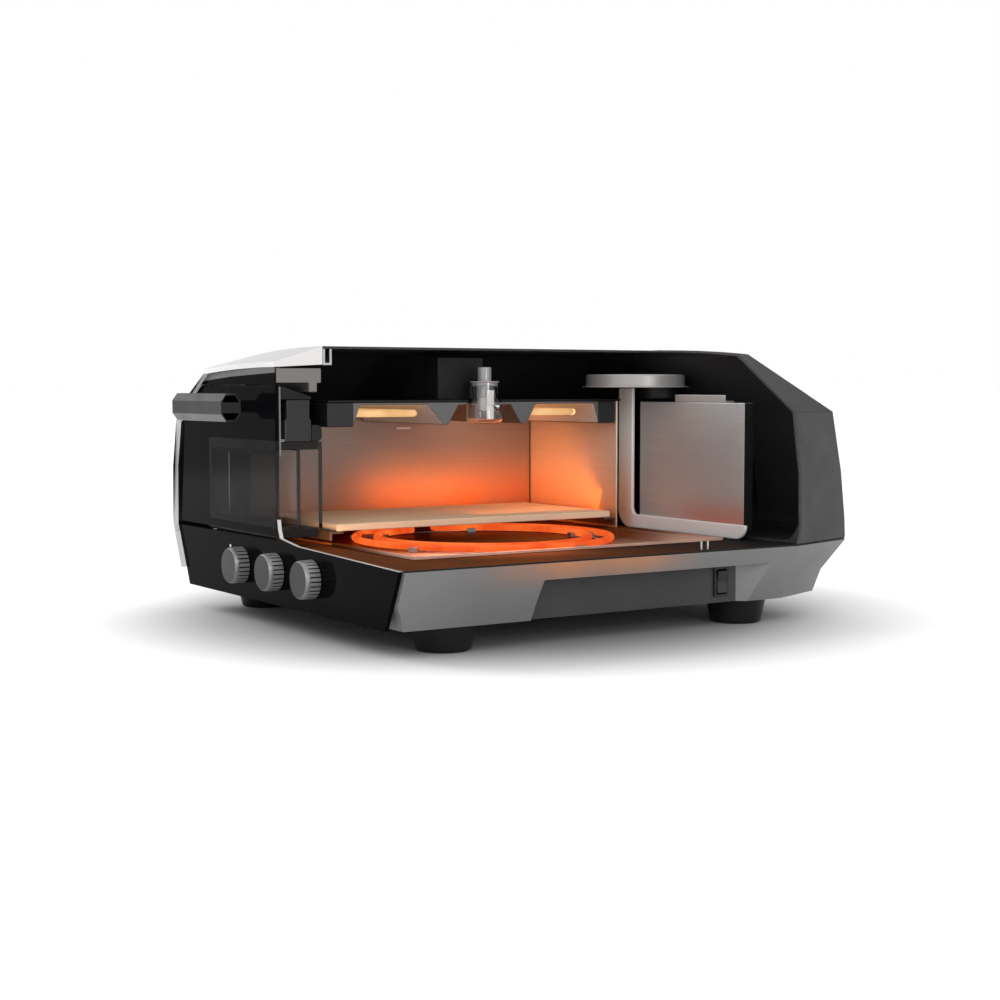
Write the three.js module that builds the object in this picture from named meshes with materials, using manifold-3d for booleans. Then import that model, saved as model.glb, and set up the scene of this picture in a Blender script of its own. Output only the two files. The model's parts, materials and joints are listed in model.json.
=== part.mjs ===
// Countertop electric pizza oven, shown cut away as a display model.
// The right-hand half above the base is sectioned off to show the heated chamber.
// Millimetres. x runs across, y from the fascia's face to the rear, z up from the floor.
// The whole model is centred on y at the very end, so the origin is under its middle.
import * as THREE from 'three';
import { mergeVertices } from 'three/addons/utils/BufferGeometryUtils.js';
import Module from 'manifold-3d';

const wasm = await Module();
wasm.setup();

// Fits and cuts
const seatGap = 0.3;          // between pieces that rest on each other
const overrun = 20;           // how far a cutting tool runs past its work
const runningGap = 0.3;       // round a turning shaft
const weldDistance = 0.0001;  // points closer than this are one point
const facets = { small: 16, medium: 28, large: 48 };

// Driving sizes of the body, which the named offsets below start from
const seamHalfWidth = 245;
const rearDepth = 554;
const roofHeight = 280;
const seamHeight = 80;
const floorClearance = 25.6;

// Half widths of the body at each level
const bottomDraft = 20;
const bottomHalfWidth = seamHalfWidth - bottomDraft;
const chinDraft = 11.5;
const chinHalfWidth = seamHalfWidth - chinDraft;
const rearTaper = 30;
const rearHalfWidth = seamHalfWidth - rearTaper;
const bottomRearDraft = 18;
const bottomRearHalfWidth = rearHalfWidth - bottomRearDraft;
const waistBulge = 3.5;
const waistHalfWidth = seamHalfWidth + waistBulge;
const flankBulge = 2.6;
const flankHalfWidth = seamHalfWidth + flankBulge;
const flankRearBulge = 1;
const flankRearHalfWidth = rearHalfWidth + flankRearBulge;
const shoulderDraft = 7;
const shoulderHalfWidth = seamHalfWidth - shoulderDraft;
const shoulderRearBulge = 2;
const shoulderRearHalfWidth = rearHalfWidth + shoulderRearBulge;
const roofEdgeInset = 95;
const roofEdgeHalfWidth = seamHalfWidth - roofEdgeInset;
const roofRearTaper = 8;
const roofRearHalfWidth = roofEdgeHalfWidth - roofRearTaper;

// Heights of those levels
const chinDrop = 32;
const chinHeight = seamHeight - chinDrop;
const waistRise = 22;
const waistHeight = seamHeight + waistRise;
const roofEdgeDrop = 6;
const roofEdgeHeight = roofHeight - roofEdgeDrop;
const shoulderDrop = 66;
const shoulderHeight = roofHeight - shoulderDrop;
const flankDrop = 62;
const flankHeight = shoulderHeight - flankDrop;
const roofArchShares = [1, 0.72, 0.42, 0.14];

// Depths of those levels, from the rear end of the seam
const bottomFront = 14;
const bottomCreaseInset = 99;
const bottomCrease = rearDepth - bottomCreaseInset;
const bottomRearInset = 29;
const bottomRear = rearDepth - bottomRearInset;
const chinRearInset = 17;
const chinRear = rearDepth - chinRearInset;
const creaseInset = 93;
const sideCrease = rearDepth - creaseInset;
const waistRearInset = 1;
const waistRear = rearDepth - waistRearInset;
const flankRearInset = 8;
const flankRear = rearDepth - flankRearInset;
const shoulderRearInset = 22;
const shoulderRear = rearDepth - shoulderRearInset;
const roofRearInset = 73;
const roofRear = rearDepth - roofRearInset;
const cutInset = 96;
const cutDepth = rearDepth - cutInset;        // the section stops here, in front of the rear cover

// Sheet and moulded walls
const shellWall = 2.4;
const tubWall = 2.6;
const deckThick = 1.5;
const rearCornerRadius = 16;
const rearCornerShares = [0, 0.33, 0.67];

// Fascia outline, from its top centre down one side
const fasciaDrop = 21.1;
const fasciaTop = roofHeight - fasciaDrop;
const fasciaArchMargin = 11;
const fasciaArchHalf = roofEdgeHalfWidth + fasciaArchMargin;
const fasciaArchRise = 6.2;
const fasciaArchEnd = fasciaTop - fasciaArchRise;
const fasciaCheekInset = 48;
const fasciaCheekHalf = seamHalfWidth - fasciaCheekInset;
const fasciaCheekDrop = 27.9;
const fasciaCheekHeight = fasciaTop - fasciaCheekDrop;
const fasciaShoulderInset = 11;
const fasciaShoulderHalf = seamHalfWidth - fasciaShoulderInset;
const fasciaShoulderDrop = 12;
const fasciaShoulderHeight = shoulderHeight - fasciaShoulderDrop;
const fasciaSideInset = 0.5;
const fasciaSideHalf = seamHalfWidth - fasciaSideInset;
const fasciaSideHeight = flankHeight;
const fasciaWaistMargin = 0.5;
const fasciaWaistHalf = seamHalfWidth + fasciaWaistMargin;
const fasciaWaistRise = 10;
const fasciaWaistHeight = seamHeight + fasciaWaistRise;
const fasciaChinInset = 29;
const fasciaChinHalf = seamHalfWidth - fasciaChinInset;
const fasciaChinRise = 0.4;
const fasciaChinHeight = floorClearance + fasciaChinRise;
const fasciaThick = 4;
const leastMitreShare = 0.5;         // keeps a sharp corner of a grown outline short
const fasciaStripRise = 9.5;
const fasciaStripHeight = seamHeight + fasciaStripRise;   // top of the control strip, under the door
const fasciaSkinThick = 1.2;
const rimProud = 5;
const rimWall = 2.6;
const rimBack = 4;
const rimEndDrop = 4;                // how far the side trim runs below the chin's widest line
const visorLip = 5.2;                // height of the visor's front edge over the fascia

// Control strip
const knobDrop = 21;
const knobHeight = seamHeight - knobDrop;
const knobSpacing = 78.6;
const knobRadius = 18.5;
const knobProud = 16;
const knobStandOff = 0.8;
const knobRibs = 26;
const knobRibDepth = 0.9;
const knobLandShare = 0.7;           // share of a rib's pitch that stands at the full radius
const knobSlopeShare = 0.06;
const knobEdge = 1.6;
const knobRibFrontShare = 0.28;
const shaftRadius = 3;
const encoderSize = 17;
const encoderDepth = 11;
const encoderBoreDepth = 7;
const encoderBoardShare = 0.7;
const lampDotRadius = 1.7;
const lampDotOffset = 29.4;
const lampDotX = -knobSpacing - lampDotOffset;
const lampDotDrop = 4;
const lampDotHeight = seamHeight - lampDotDrop;
const lampDotProud = 0.3;
const cutLipRise = 30;
const cutLipHeight = seamHeight + cutLipRise;
const cutLipWidth = 2.6;
const cutLipShare = 0.62;            // its width at the tip over its width half way down
const cutSlopeInnerRise = 11;
const cutSlopeInner = seamHeight + cutSlopeInnerRise;
const cutSlopeMiddleRise = 7;
const cutSlopeMiddle = seamHeight + cutSlopeMiddleRise;
const cutLipReach = 16;
const cutSlopeReach = 46;

// Depths of the door's layers, the visor over them and the chamber's mouth
const outerGlass = 4;
const outerGlassSideGap = 0.9;
const middleGlassFront = 23;
const middleGlassThick = 4;
const innerGlassFront = 47;
const innerGlassThick = 4;
const visorCover = 5;
const visorDepth = innerGlassFront + visorCover;   // the roof starts behind the visor
const chamberDoorGap = 7;
const chamberFront = innerGlassFront + innerGlassThick + chamberDoorGap;

// Chamber
const chamberSideSpace = 75;
const chamberHalfWidth = seamHalfWidth - chamberSideSpace;
const chamberRearSpace = 139;
const chamberRear = rearDepth - chamberRearSpace;
const wallSheet = 2;
const trayHem = 1.2;
const trayHemHeight = 1.9;
const trayFlangeThick = 1;
const trayFrontLip = 3;
const trayFront = chamberFront - trayFrontLip;
const trayRearLip = 7.2;
const trayRear = chamberRear + trayRearLip;
const panSideInset = 12;
const panHalfWidth = chamberHalfWidth - panSideInset;
const panFrontInset = 12;
const panFront = chamberFront + panFrontInset;
const panRearInset = 13;
const panRear = chamberRear - panRearInset;
const panDepth = 6;
const panSlope = 5;
const deckHoleGap = 2.5;
const ceilingDrop = 56;
const ceilingHeight = roofHeight - ceilingDrop;
const ceilingThick = 2;
const ceilingSideReach = 20;
const ceilingHalfWidth = chamberHalfWidth + ceilingSideReach;
const ceilingRearReach = 6;
const ceilingRear = chamberRear + ceilingRearReach;
const insulationThick = 19;
const insulationTopGap = 2;

// Baking stone and its rails
const stoneFrontInset = 9;
const stoneFront = chamberFront + stoneFrontInset;
const stoneRearInset = 8;
const stoneRear = chamberRear - stoneRearInset;
const stoneThick = 7;
const stoneRise = 22.4;
const stoneTop = seamHeight + stoneRise;
const stoneSideGap = 1.5;
const railWidth = 15;
const railLip = 9;
const railThick = 2.4;

// Lower heating element: as large a ring as the pan's width and length leave room for
const lowerTube = 7;
const coilSideSpace = 23;
const coilEndSpace = 31;
const coilPitch = 23;
const lowerOuterRadius = Math.min(panHalfWidth - coilSideSpace, (panRear - panFront) / 2 - coilEndSpace);
const lowerInnerRadius = lowerOuterRadius - coilPitch;
const coilShift = 4;
const lowerCentre = (panFront + panRear) / 2 + coilShift;
const lowerGapAngle = 0.2;
const lowerSteps = 72;
const lowerBendSteps = 6;
const lowerTubeSteps = 103;
const tubeSides = 8;
const gapMarksPerPoint = 4;
const gapSkipDiameters = 5;
const clipCount = 5;
const clipWidth = 9;
const clipWall = 2;
const clipReach = 9;
const clipStartAngle = 0.5;
const clipStrap = 1;

// Oven lamp: a stepped glass round a neck, in a bay in the middle of the ceiling
const lampShift = 5.5;
const lampDepth = (chamberFront + chamberRear) / 2 + lampShift;
const lampGlassRadius = 19.5;
const lampGlassWall = 1.8;
const lampGlassDrop = 23;
const lampGlassBottom = ceilingHeight - lampGlassDrop;
const lampStepDrop = 2;
const lampStepHeight = ceilingHeight - lampStepDrop;
const lampThroatRadius = 15.8;
const lampGlassRise = 19.6;
const lampGlassTop = ceilingHeight + lampGlassRise;
const lampGlassFillet = 6;
const lampPlugDepth = 3;
const lampCapThick = 1.5;
const lampStemRadius = 6.3;
const lampStemRise = 3;
const lampStemBottom = ceilingHeight + lampStemRise;
const lampNeckRadius = 7.2;
const lampNeckLength = 16.4;
const lampNeckTop = lampGlassTop + lampNeckLength;
const lampHoleGap = 1.2;
const bulbRadius = 5.5;
const bulbLength = 14;
const bracketFrontReach = 45;
const bracketFront = lampDepth - bracketFrontReach;
const bracketRearReach = 10;
const bracketRear = lampDepth + bracketRearReach;
const bracketSideReach = 30.2;
const bracketRoofGap = 10;
const bracketTop = roofHeight - bracketRoofGap;
const bracketWall = 2;

// Ceiling reflector: stations along y and its bottom heights
const reflectorFrontReach = 1;
const reflectorFront = chamberFront - reflectorFrontReach;
const reflectorDrop = 24.5;
const reflectorBottom = ceilingHeight - reflectorDrop;
const frontBlockDepth = 29;
const frontBlockRear = reflectorFront + frontBlockDepth;
const frontBlockSlope = 8;
const recessOneFront = frontBlockRear + frontBlockSlope;
const bayFrontReach = 31.5;
const bayFront = lampDepth - bayFrontReach;
const ridgeOneSlope = 16.5;
const ridgeOneTip = bayFront - ridgeOneSlope;
const recessOneSlope = 22;
const recessOneRear = ridgeOneTip - recessOneSlope;
const ridgeTipHalf = 4;
const ridgeTipRise = 1;
const ridgeTipHeight = reflectorBottom + ridgeTipRise;
const bayRearReach = 33;
const bayRear = lampDepth + bayRearReach;
const ridgeTwoSlope = 17;
const ridgeTwoTip = bayRear + ridgeTwoSlope;
const recessTwoSlope = 15.5;
const recessTwoFront = ridgeTwoTip + recessTwoSlope;
const reflectorRearInset = 2;
const reflectorRear = chamberRear - reflectorRearInset;
const rearBlockDepth = 23;
const rearBlockFront = reflectorRear - rearBlockDepth;
const rearBlockSlope = 7;
const recessTwoRear = rearBlockFront - rearBlockSlope;
const recessCeilingDrop = 2.8;
const recessCeiling = ceilingHeight - recessCeilingDrop;
const reflectorSideGap = 1.5;

// Upper heating elements: hairpins that lie in the two recesses
const upperTube = 7.4;
const upperDrop = 11.6;
const upperHeight = ceilingHeight - upperDrop;
const upperOneFrontGap = 6;
const upperOneFront = recessOneFront + upperOneFrontGap;
const upperOneRearGap = 3;
const upperOneRear = recessOneRear - upperOneRearGap;
const upperTwoFrontGap = 1;
const upperTwoFront = recessTwoFront + upperTwoFrontGap;
const upperTwoRearGap = 12;
const upperTwoRear = recessTwoRear - upperTwoRearGap;
const upperNear = 10;
const upperBend = 17;
const upperBendShare = 0.45;         // the bend's greatest radius over the gap between the legs
const upperBendSteps = 5;
const upperStraightSteps = 3;
const upperTubeSteps = 44;

// Front frame, roof rail
const frameDrop = 15.4;
const frameBottom = fasciaTop - frameDrop;
const frameTopGap = 0.9;
const frameReachInset = 17;
const frameReach = fasciaArchHalf - frameReachInset;
const frameRearGap = 1.5;
const frameRear = visorDepth - frameRearGap;
const frameLegHeight = 9;
const frameLegInset = 4.5;
const frameLegRear = frameRear - frameLegInset;
const frameLegThick = 9;
const frameLegFront = frameLegRear - frameLegThick;
const railFrontGap = 0.6;
const roofRailDepth = 10;
const roofRailDrop = 13;
const roofRailBottom = roofEdgeHeight - roofRailDrop;
const roofRailWall = 2.6;
const fasciaStripGap = 1;

// Door
const doorTopGap = 2.5;
const doorTop = frameBottom - doorTopGap;
const doorRise = 13.5;
const doorBottom = seamHeight + doorRise;
const innerGlassRise = 3.5;
const innerGlassBottom = doorBottom + innerGlassRise;
const windowInset = 10;
const windowHalfWidth = chamberHalfWidth - windowInset;
const doorFrameMargin = 2;
const doorFrameHalfWidth = chamberHalfWidth + doorFrameMargin;
const doorRailRise = 6.5;
const doorRailTop = doorBottom + doorRailRise;
const doorRailDrop = 2.1;
const doorLipDrop = 3.8;             // the rail's lip shuts the slot over the control strip
const doorLipThick = 3;
const doorLipSetBack = 1;            // the lip's front face, ahead of the hinge line
const doorRailBottom = doorBottom - doorRailDrop;
const doorLipBottom = doorBottom - doorLipDrop;
const doorBarDrop = 63;
const doorBarBottom = doorTop - doorBarDrop;
const doorBarThick = 7.7;
const doorBarTop = doorBarBottom + doorBarThick;
const doorBlockFront = 10.8;
const doorSealSpace = 7.7;
const doorBlockRear = innerGlassFront - doorSealSpace;
const doorBlockDrop = 14;
const doorBlockTop = doorTop - doorBlockDrop;
const doorBlockStepDrop = 20;
const doorBlockStep = doorBlockTop - doorBlockStepDrop;
const doorBlockRelief = 1.6;
const doorCapRearRise = 3;
const doorCapRearTop = doorBlockTop + doorCapRearRise;
const doorCapGap = 1;
const doorCapTop = doorTop - doorCapGap;
const channelThick = 2;
const channelDrop = 6;
const channelBottom = doorBarBottom - channelDrop;
const channelHookThick = 2.4;
const channelHookReach = 3.9;
const doorCapFront = outerGlass + channelThick + seatGap * 2;
const sealDrop = 5;
const sealTop = doorBlockStep - sealDrop;
const sealRadius = 5;
const sideRailWidth = 10;
const hingeDepth = 8;
const hingeRise = 5;
const hingeHeight = doorBottom + hingeRise;
const pinRadius = 2.6;
const pinLength = 13;
const bracketNose = 3.7;
const bracketPlate = 9;
const bracketReach = 40;
const bracketLegFront = 22;
const bracketSideGap = 3;

// Handle
const handleDrop = 21.3;
const handleHeight = doorTop - handleDrop;
const handleStandOff = 46.4;
const handleDepth = -handleStandOff;
const handleSideInset = 123.5;
const handleHalfLength = seamHalfWidth - handleSideInset;
const handleHalfTall = 13.6;
const handleHalfDeep = 10.2;
const handleFlatHalfDeep = 4.8;
const handleFlatHalfTall = 6.4;
const handleWall = 2;
const handleWeb = 5.2;
const handleCap = 4;
const postInset = 20.5;
const postX = postInset - handleHalfLength;
const postRadius = 6.5;

// Feet
const footSideInset = 57;
const footX = seamHalfWidth - footSideInset;
const footFront = 77;
const footRearInset = 127;
const footRear = rearDepth - footRearInset;
const footTopRadius = 31;
const footBottomRadius = 26;
const footFillet = 3.5;
const footFilletShares = [0, 0.38, 0.71, 0.92, 1];

// Hand recess and power switch
const recessTopFront = 158;
const recessBottomFront = 135;
const recessRearInset = 133;
const recessTopRear = rearDepth - recessRearInset;
const recessTopDrop = 16;
const recessTop = seamHeight - recessTopDrop;
const recessInset = 15.5;
const recessInnerX = chinHalfWidth - recessInset;
const recessTopFlare = 10;
const recessInnerTopFront = recessTopFront + recessTopFlare;
const recessBottomFlare = 11;
const recessInnerBottomFront = recessBottomFront + recessBottomFlare;
const recessRearFlare = 20;
const recessInnerRear = recessTopRear - recessRearFlare;
const switchInset = 20;
const switchDepth = recessInnerRear - switchInset;
const switchRise = 1.7;
const switchHeight = (floorClearance + recessTop) / 2 + switchRise;
const switchHalfWidth = 9;
const switchMargin = 4.2;
const switchHalfTall = (recessTop - floorClearance) / 2 - switchMargin;
const switchFlange = 2;
const switchFlangeWidth = 2.2;
const switchBody = 18;
const rockerSideGap = 3;
const rockerHalfWidth = switchHalfWidth - rockerSideGap;
const rockerEndGap = 3.5;
const rockerHalfTall = switchHalfTall - rockerEndGap;
const rockerThick = 4;
const rockerRise = 2.6;
const rockerPivotSink = 2.4;
const rockerPocketGap = 0.8;
const rockerTipShare = 0.96;

// Power inlet at the rear
const inletSideInset = 85;
const inletX = rearHalfWidth - inletSideInset;
const inletDrop = 26;
const inletHeight = seamHeight - inletDrop;
const inletHalfWidth = 15;
const inletHalfTall = 11.5;
const inletFaceInset = 21;
const inletFace = rearDepth - inletFaceInset;
const inletDepth = 24;
const inletWall = 2.4;
const inletPocket = 17;
const inletPin = 1.6;
const inletPinLength = 12;
const inletPinSpread = 7;
const inletPinDrop = 2;
const inletCorner = 5;

// Vents
const ventSlots = 11;
const ventPitch = 15;
const ventWidth = 5;
const ventRise = 16;
const ventBottom = waistHeight + ventRise;
const ventDrop = 28;
const ventTop = shoulderHeight - ventDrop;
const underVentSlots = 9;
const underVentPitch = 18;
const underVentWidth = 5;
const underVentFront = 190;
const underVentLength = 90;

// Rear structure behind the chamber
const frameFaceGap = 22;
const frameFace = chamberRear + frameFaceGap;
const frameThick = 4;
const frameColumn = 25;
const frameFoot = 15;
const frameLegSpace = 55;
const frameLegReach = seamHalfWidth - frameLegSpace;
const frameTopRise = 14;
const frameTop = ceilingHeight + frameTopRise;
const frameOuterRadius = 20;
const frameInnerRadius = 8;
const frameFootRise = 2.6;
const frameFootBottom = seamHeight + frameFootRise;
const frameArcSteps = 6;
const panelLeft = 9;
const panelSideInset = 7;
const panelRight = frameLegReach - panelSideInset;
const panelRise = 12;
const panelBottom = seamHeight + panelRise;
const panelTopDrop = 1;
const panelTop = ceilingHeight - panelTopDrop;
const panelThick = 1.6;
const panelFold = 12;

// Fan
const fanShift = 4;
const fanDepth = frameFace + fanShift;
const fanRadius = 55;
const fanRise = 2.2;
const fanBottom = frameTop + fanRise;
const fanHeight = 12.8;
const fanTop = fanBottom + fanHeight;
const fanFlangeRadius = 59;
const fanFlangeThick = 1.5;
const fanEdge = 1.2;
const motorShift = 34;
const motorDepth = fanDepth + motorShift;
const motorRadius = 23;
const motorLength = 14.7;
const motorBottom = fanBottom - motorLength;
const fanBracketInset = 31;
const fanBracketRight = panelRight - fanBracketInset;
const fanBracketWidth = 82;
const fanBracketLeft = fanBracketRight - fanBracketWidth;
const fanBracketRise = 8;
const fanBracketTop = panelTop + fanBracketRise;
const fanBracketDepth = 13;

// Control board inside the base
const boardHalfWidth = 74;
const boardFront = 46;
const boardDepth = 84;
const boardThick = 1.6;
const standOff = 9;
const standOffRadius = 4;
const standOffInset = 8;
const relayCount = 4;
const relaySize = 15;
const relayTall = 12;
const relayPitch = 30;

// Materials: colour, roughness, metalness
const finishes = {
  gloss_black: [0x1a1a1b, 0.12, 0.0],
  satin_silver: [0xd8d8d6, 0.28, 0.9],
  base_grey: [0x6f7073, 0.5, 0.4],
  shell_grey: [0x3f4043, 0.5, 0.3],
  inner_black: [0x141414, 0.6, 0.2],
  brushed_steel: [0xb8b2aa, 0.35, 0.95],
  light_grey: [0xb9b7b4, 0.45, 0.5],
  cast_grey: [0x6d7274, 0.45, 0.6],
  stone: [0xe6cfa4, 0.9, 0.0],
  element_glow: [0xff7a2a, 0.5, 0.2],
  glass: [0x8d9294, 0.05, 0.0],
  lamp_glass: [0xe8ecec, 0.08, 0.0],
  ceramic: [0xdedcd6, 0.4, 0.0],
  knob_grey: [0x5d5a5c, 0.45, 0.5],
  handle_grey: [0x615d5f, 0.4, 0.6],
  rubber: [0x17181a, 0.8, 0.0],
  insulation: [0xcfcabd, 0.95, 0.0],
  board: [0x2b6b45, 0.6, 0.0],
  dark_plastic: [0x202123, 0.5, 0.1],
  zinc: [0x9a9da0, 0.35, 0.9],
  white_light: [0xf4f4f0, 0.4, 0.0],
};

// Solids from geometries, and back
function solidOf(geometry) {
  const bare = geometry.clone();
  bare.deleteAttribute('normal');
  bare.deleteAttribute('uv');
  const merged = mergeVertices(bare, weldDistance);
  return new wasm.Manifold(new wasm.Mesh({
    numProp: 3,
    vertProperties: new Float32Array(merged.attributes.position.array),
    triVerts: new Uint32Array(merged.index.array),
  }));
}

function geometryOf(solid) {
  const mesh = solid.getMesh();
  const geometry = new THREE.BufferGeometry();
  geometry.setAttribute('position', new THREE.BufferAttribute(new Float32Array(mesh.vertProperties), 3));
  geometry.setIndex(new THREE.BufferAttribute(new Uint32Array(mesh.triVerts), 1));
  geometry.computeVertexNormals();
  return geometry;
}

const join = (first, ...others) => others.reduce((sum, other) => sum.add(other), first);
const cut = (first, ...others) => others.reduce((rest, other) => rest.subtract(other), first);

// Prisms along each axis, from an outline in the other two
const X = new THREE.Vector3(1, 0, 0);
const Y = new THREE.Vector3(0, 1, 0);
const Z = new THREE.Vector3(0, 0, 1);

function extrude(outline, length, basis, place) {
  const shape = new THREE.Shape(outline.map(([u, v]) => new THREE.Vector2(u, v)));
  const geometry = new THREE.ExtrudeGeometry(shape, { depth: length, bevelEnabled: false, steps: 1 });
  geometry.applyMatrix4(new THREE.Matrix4().makeBasis(...basis).setPosition(place));
  return solidOf(geometry);
}

const alongX = (outline, from, to) => extrude(outline, to - from, [Y, Z, X], new THREE.Vector3(from, 0, 0));
const alongY = (outline, from, to) => (
  extrude(outline, to - from, [X, Z, Y.clone().negate()], new THREE.Vector3(0, to, 0))
);
const alongZ = (outline, from, to) => extrude(outline, to - from, [X, Y, Z], new THREE.Vector3(0, 0, from));

const rectangle = (u0, u1, v0, v1) => [[u0, v0], [u1, v0], [u1, v1], [u0, v1]];

function block(x0, x1, y0, y1, z0, z1) {
  return alongZ(rectangle(x0, x1, y0, y1), z0, z1);
}

function rod(axis, radius, from, to, place, sides = facets.medium) {
  const circle = Array.from({ length: sides }, (_, i) => {
    const turn = (2 * Math.PI * (i + 0.5)) / sides;
    return [place[0] + radius * Math.cos(turn), place[1] + radius * Math.sin(turn)];
  });
  return { x: alongX, y: alongY, z: alongZ }[axis](circle, from, to);
}

function arc(centre, radius, start, end, steps) {
  return Array.from({ length: steps + 1 }, (_, i) => {
    const turn = start + ((end - start) * i) / steps;
    return [centre[0] + radius * Math.cos(turn), centre[1] + radius * Math.sin(turn)];
  });
}

// A closed skin through rings that each have the same number of points
function loft(rings) {
  const points = rings.flat(1);
  const count = rings[0].length;
  const faces = [];
  for (let r = 0; r + 1 < rings.length; r += 1) {
    for (let i = 0; i < count; i += 1) {
      const a = r * count + i;
      const b = r * count + ((i + 1) % count);
      faces.push(a, b, b + count, a, b + count, a + count);
    }
  }
  for (let i = 1; i + 1 < count; i += 1) {
    faces.push(0, i + 1, i);
    const top = (rings.length - 1) * count;
    faces.push(top, top + i, top + i + 1);
  }
  const geometry = new THREE.BufferGeometry();
  geometry.setAttribute('position', new THREE.Float32BufferAttribute(points.flat(), 3));
  geometry.setIndex(faces);
  return solidOf(geometry);
}

// A turned solid about the z axis; the profile starts and ends on the axis
function turned(profile, x, y, sides = facets.medium) {
  const geometry = new THREE.LatheGeometry(profile.map(([r, z]) => new THREE.Vector2(r, z)), sides);
  geometry.rotateX(Math.PI / 2);
  geometry.translate(x, y, 0);
  return solidOf(geometry);
}

const model = new THREE.Group();

function addPart(name, finish, geometry, place = [0, 0, 0]) {
  const [color, roughness, metalness] = finishes[finish];
  const material = new THREE.MeshStandardMaterial({ color, roughness, metalness });
  const mesh = new THREE.Mesh(geometry, material);
  mesh.name = name;
  mesh.position.set(...place);
  model.add(mesh);
  return mesh;
}

const addSolid = (name, finish, solid, place) => addPart(name, finish, geometryOf(solid), place);

// Plan ring of the body at one height, optionally inset by a wall
function planRing(half, front, crease, rearHalf, rear, height, inset = 0) {
  return [
    [-half + inset, front, height],
    [half - inset, front, height],
    [half - inset, crease - inset / 2, height],
    [rearHalf - inset, rear - inset, height],
    [-rearHalf + inset, rear - inset, height],
    [-half + inset, crease - inset / 2, height],
  ];
}

// Base tub, deck and feet
const deckTop = seamHeight + seatGap + deckThick;
const tubFront = fasciaThick + seatGap;

function tubLoft(inset, bottom, top) {
  return loft([
    planRing(
      bottomHalfWidth, bottomFront + inset, bottomCrease, bottomRearHalfWidth, bottomRear, bottom, inset,
    ),
    planRing(chinHalfWidth, tubFront + inset, bottomCrease, bottomRearHalfWidth, chinRear, chinHeight, inset),
    planRing(seamHalfWidth, tubFront + inset, sideCrease, rearHalfWidth, rearDepth, top, inset),
  ]);
}

function handRecess(grow) {
  const outerX = seamHalfWidth + overrun;
  const outerShare = (outerX - recessInnerX) / (chinHalfWidth - recessInnerX);
  const spread = (inner, outer) => inner + (outer - inner) * outerShare;
  const low = floorClearance - overrun;
  const inner = [
    [recessInnerBottomFront - grow, low],
    [recessInnerRear + grow, low],
    [recessInnerRear + grow, recessTop + grow],
    [recessInnerTopFront - grow, recessTop + grow],
  ];
  const outer = [
    [spread(recessInnerBottomFront, recessBottomFront) - grow, low],
    [spread(recessInnerRear, recessTopRear) + grow, low],
    [spread(recessInnerRear, recessTopRear) + grow, recessTop + grow],
    [spread(recessInnerTopFront, recessTopFront) - grow, recessTop + grow],
  ];
  const right = loft([
    inner.map(([y, z]) => [recessInnerX - grow, y, z]),
    outer.map(([y, z]) => [outerX, y, z]),
  ]);
  return join(right, right.mirror([1, 0, 0]));
}

// Holes for the three knob shafts and the status light
function controlHoles(front, rear) {
  const shafts = [-knobSpacing, 0, knobSpacing].map((x) => (
    rod('y', shaftRadius + runningGap, front, rear, [x, knobHeight], facets.small)
  ));
  const light = rod('y', lampDotRadius + runningGap, front, rear, [lampDotX, lampDotHeight], facets.small);
  return [...shafts, light];
}

function baseShell() {
  const floorInside = floorClearance + tubWall;
  const outer = tubLoft(0, floorClearance, seamHeight);
  const pocket = tubLoft(tubWall, floorInside, seamHeight + overrun);
  const hollow = cut(pocket, handRecess(tubWall));
  let tub = cut(outer, handRecess(0), hollow);
  tub = cut(tub, ...controlHoles(0, tubFront + tubWall + overrun));
  const inletHole = block(
    inletX - inletHalfWidth - seatGap,
    inletX + inletHalfWidth + seatGap,
    inletFace - inletDepth,
    rearDepth + overrun,
    inletHeight - inletHalfTall - seatGap,
    inletHeight + inletHalfTall + seatGap,
  );
  const switchHole = block(
    recessInnerX - tubWall - overrun,
    recessInnerX + overrun,
    switchDepth - switchHalfWidth + switchFlangeWidth - seatGap,
    switchDepth + switchHalfWidth - switchFlangeWidth + seatGap,
    switchHeight - switchHalfTall + switchFlangeWidth - seatGap,
    switchHeight + switchHalfTall - switchFlangeWidth + seatGap,
  );
  tub = cut(tub, inletHole, switchHole);
  for (let i = 0; i < underVentSlots; i += 1) {
    const x = (i - (underVentSlots - 1) / 2) * underVentPitch;
    tub = cut(tub, block(
      x - underVentWidth / 2,
      x + underVentWidth / 2,
      underVentFront,
      underVentFront + underVentLength,
      floorClearance - overrun,
      floorInside + overrun / 2,
    ));
  }
  for (const sideX of [-1, 1]) {
    for (const y of [boardFront + standOffInset, boardFront + boardDepth - standOffInset]) {
      const x = sideX * (boardHalfWidth - standOffInset);
      const foot = floorClearance + tubWall / 2;
      tub = join(tub, rod('z', standOffRadius, foot, floorInside + standOff, [x, y], facets.small));
    }
  }
  return tub;
}

function baseDeck() {
  const plate = loft([
    planRing(seamHalfWidth, tubFront, sideCrease, rearHalfWidth, rearDepth, seamHeight + seatGap, seatGap),
    planRing(seamHalfWidth, tubFront, sideCrease, rearHalfWidth, rearDepth, deckTop, seatGap),
  ]);
  const holeHalf = panHalfWidth + deckHoleGap;
  const hole = block(
    -holeHalf,
    holeHalf,
    panFront - deckHoleGap,
    panRear + deckHoleGap,
    seamHeight - overrun,
    deckTop + overrun,
  );
  return cut(plate, hole);
}

function footProfile() {
  const top = floorClearance - seatGap;
  const curve = footFilletShares.map((share) => {
    const turn = (share * Math.PI) / 2;
    return [
      footBottomRadius - footFillet + footFillet * Math.sin(turn),
      footFillet - footFillet * Math.cos(turn),
    ];
  });
  return [[0, 0], ...curve, [footTopRadius, top], [0, top]];
}

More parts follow.
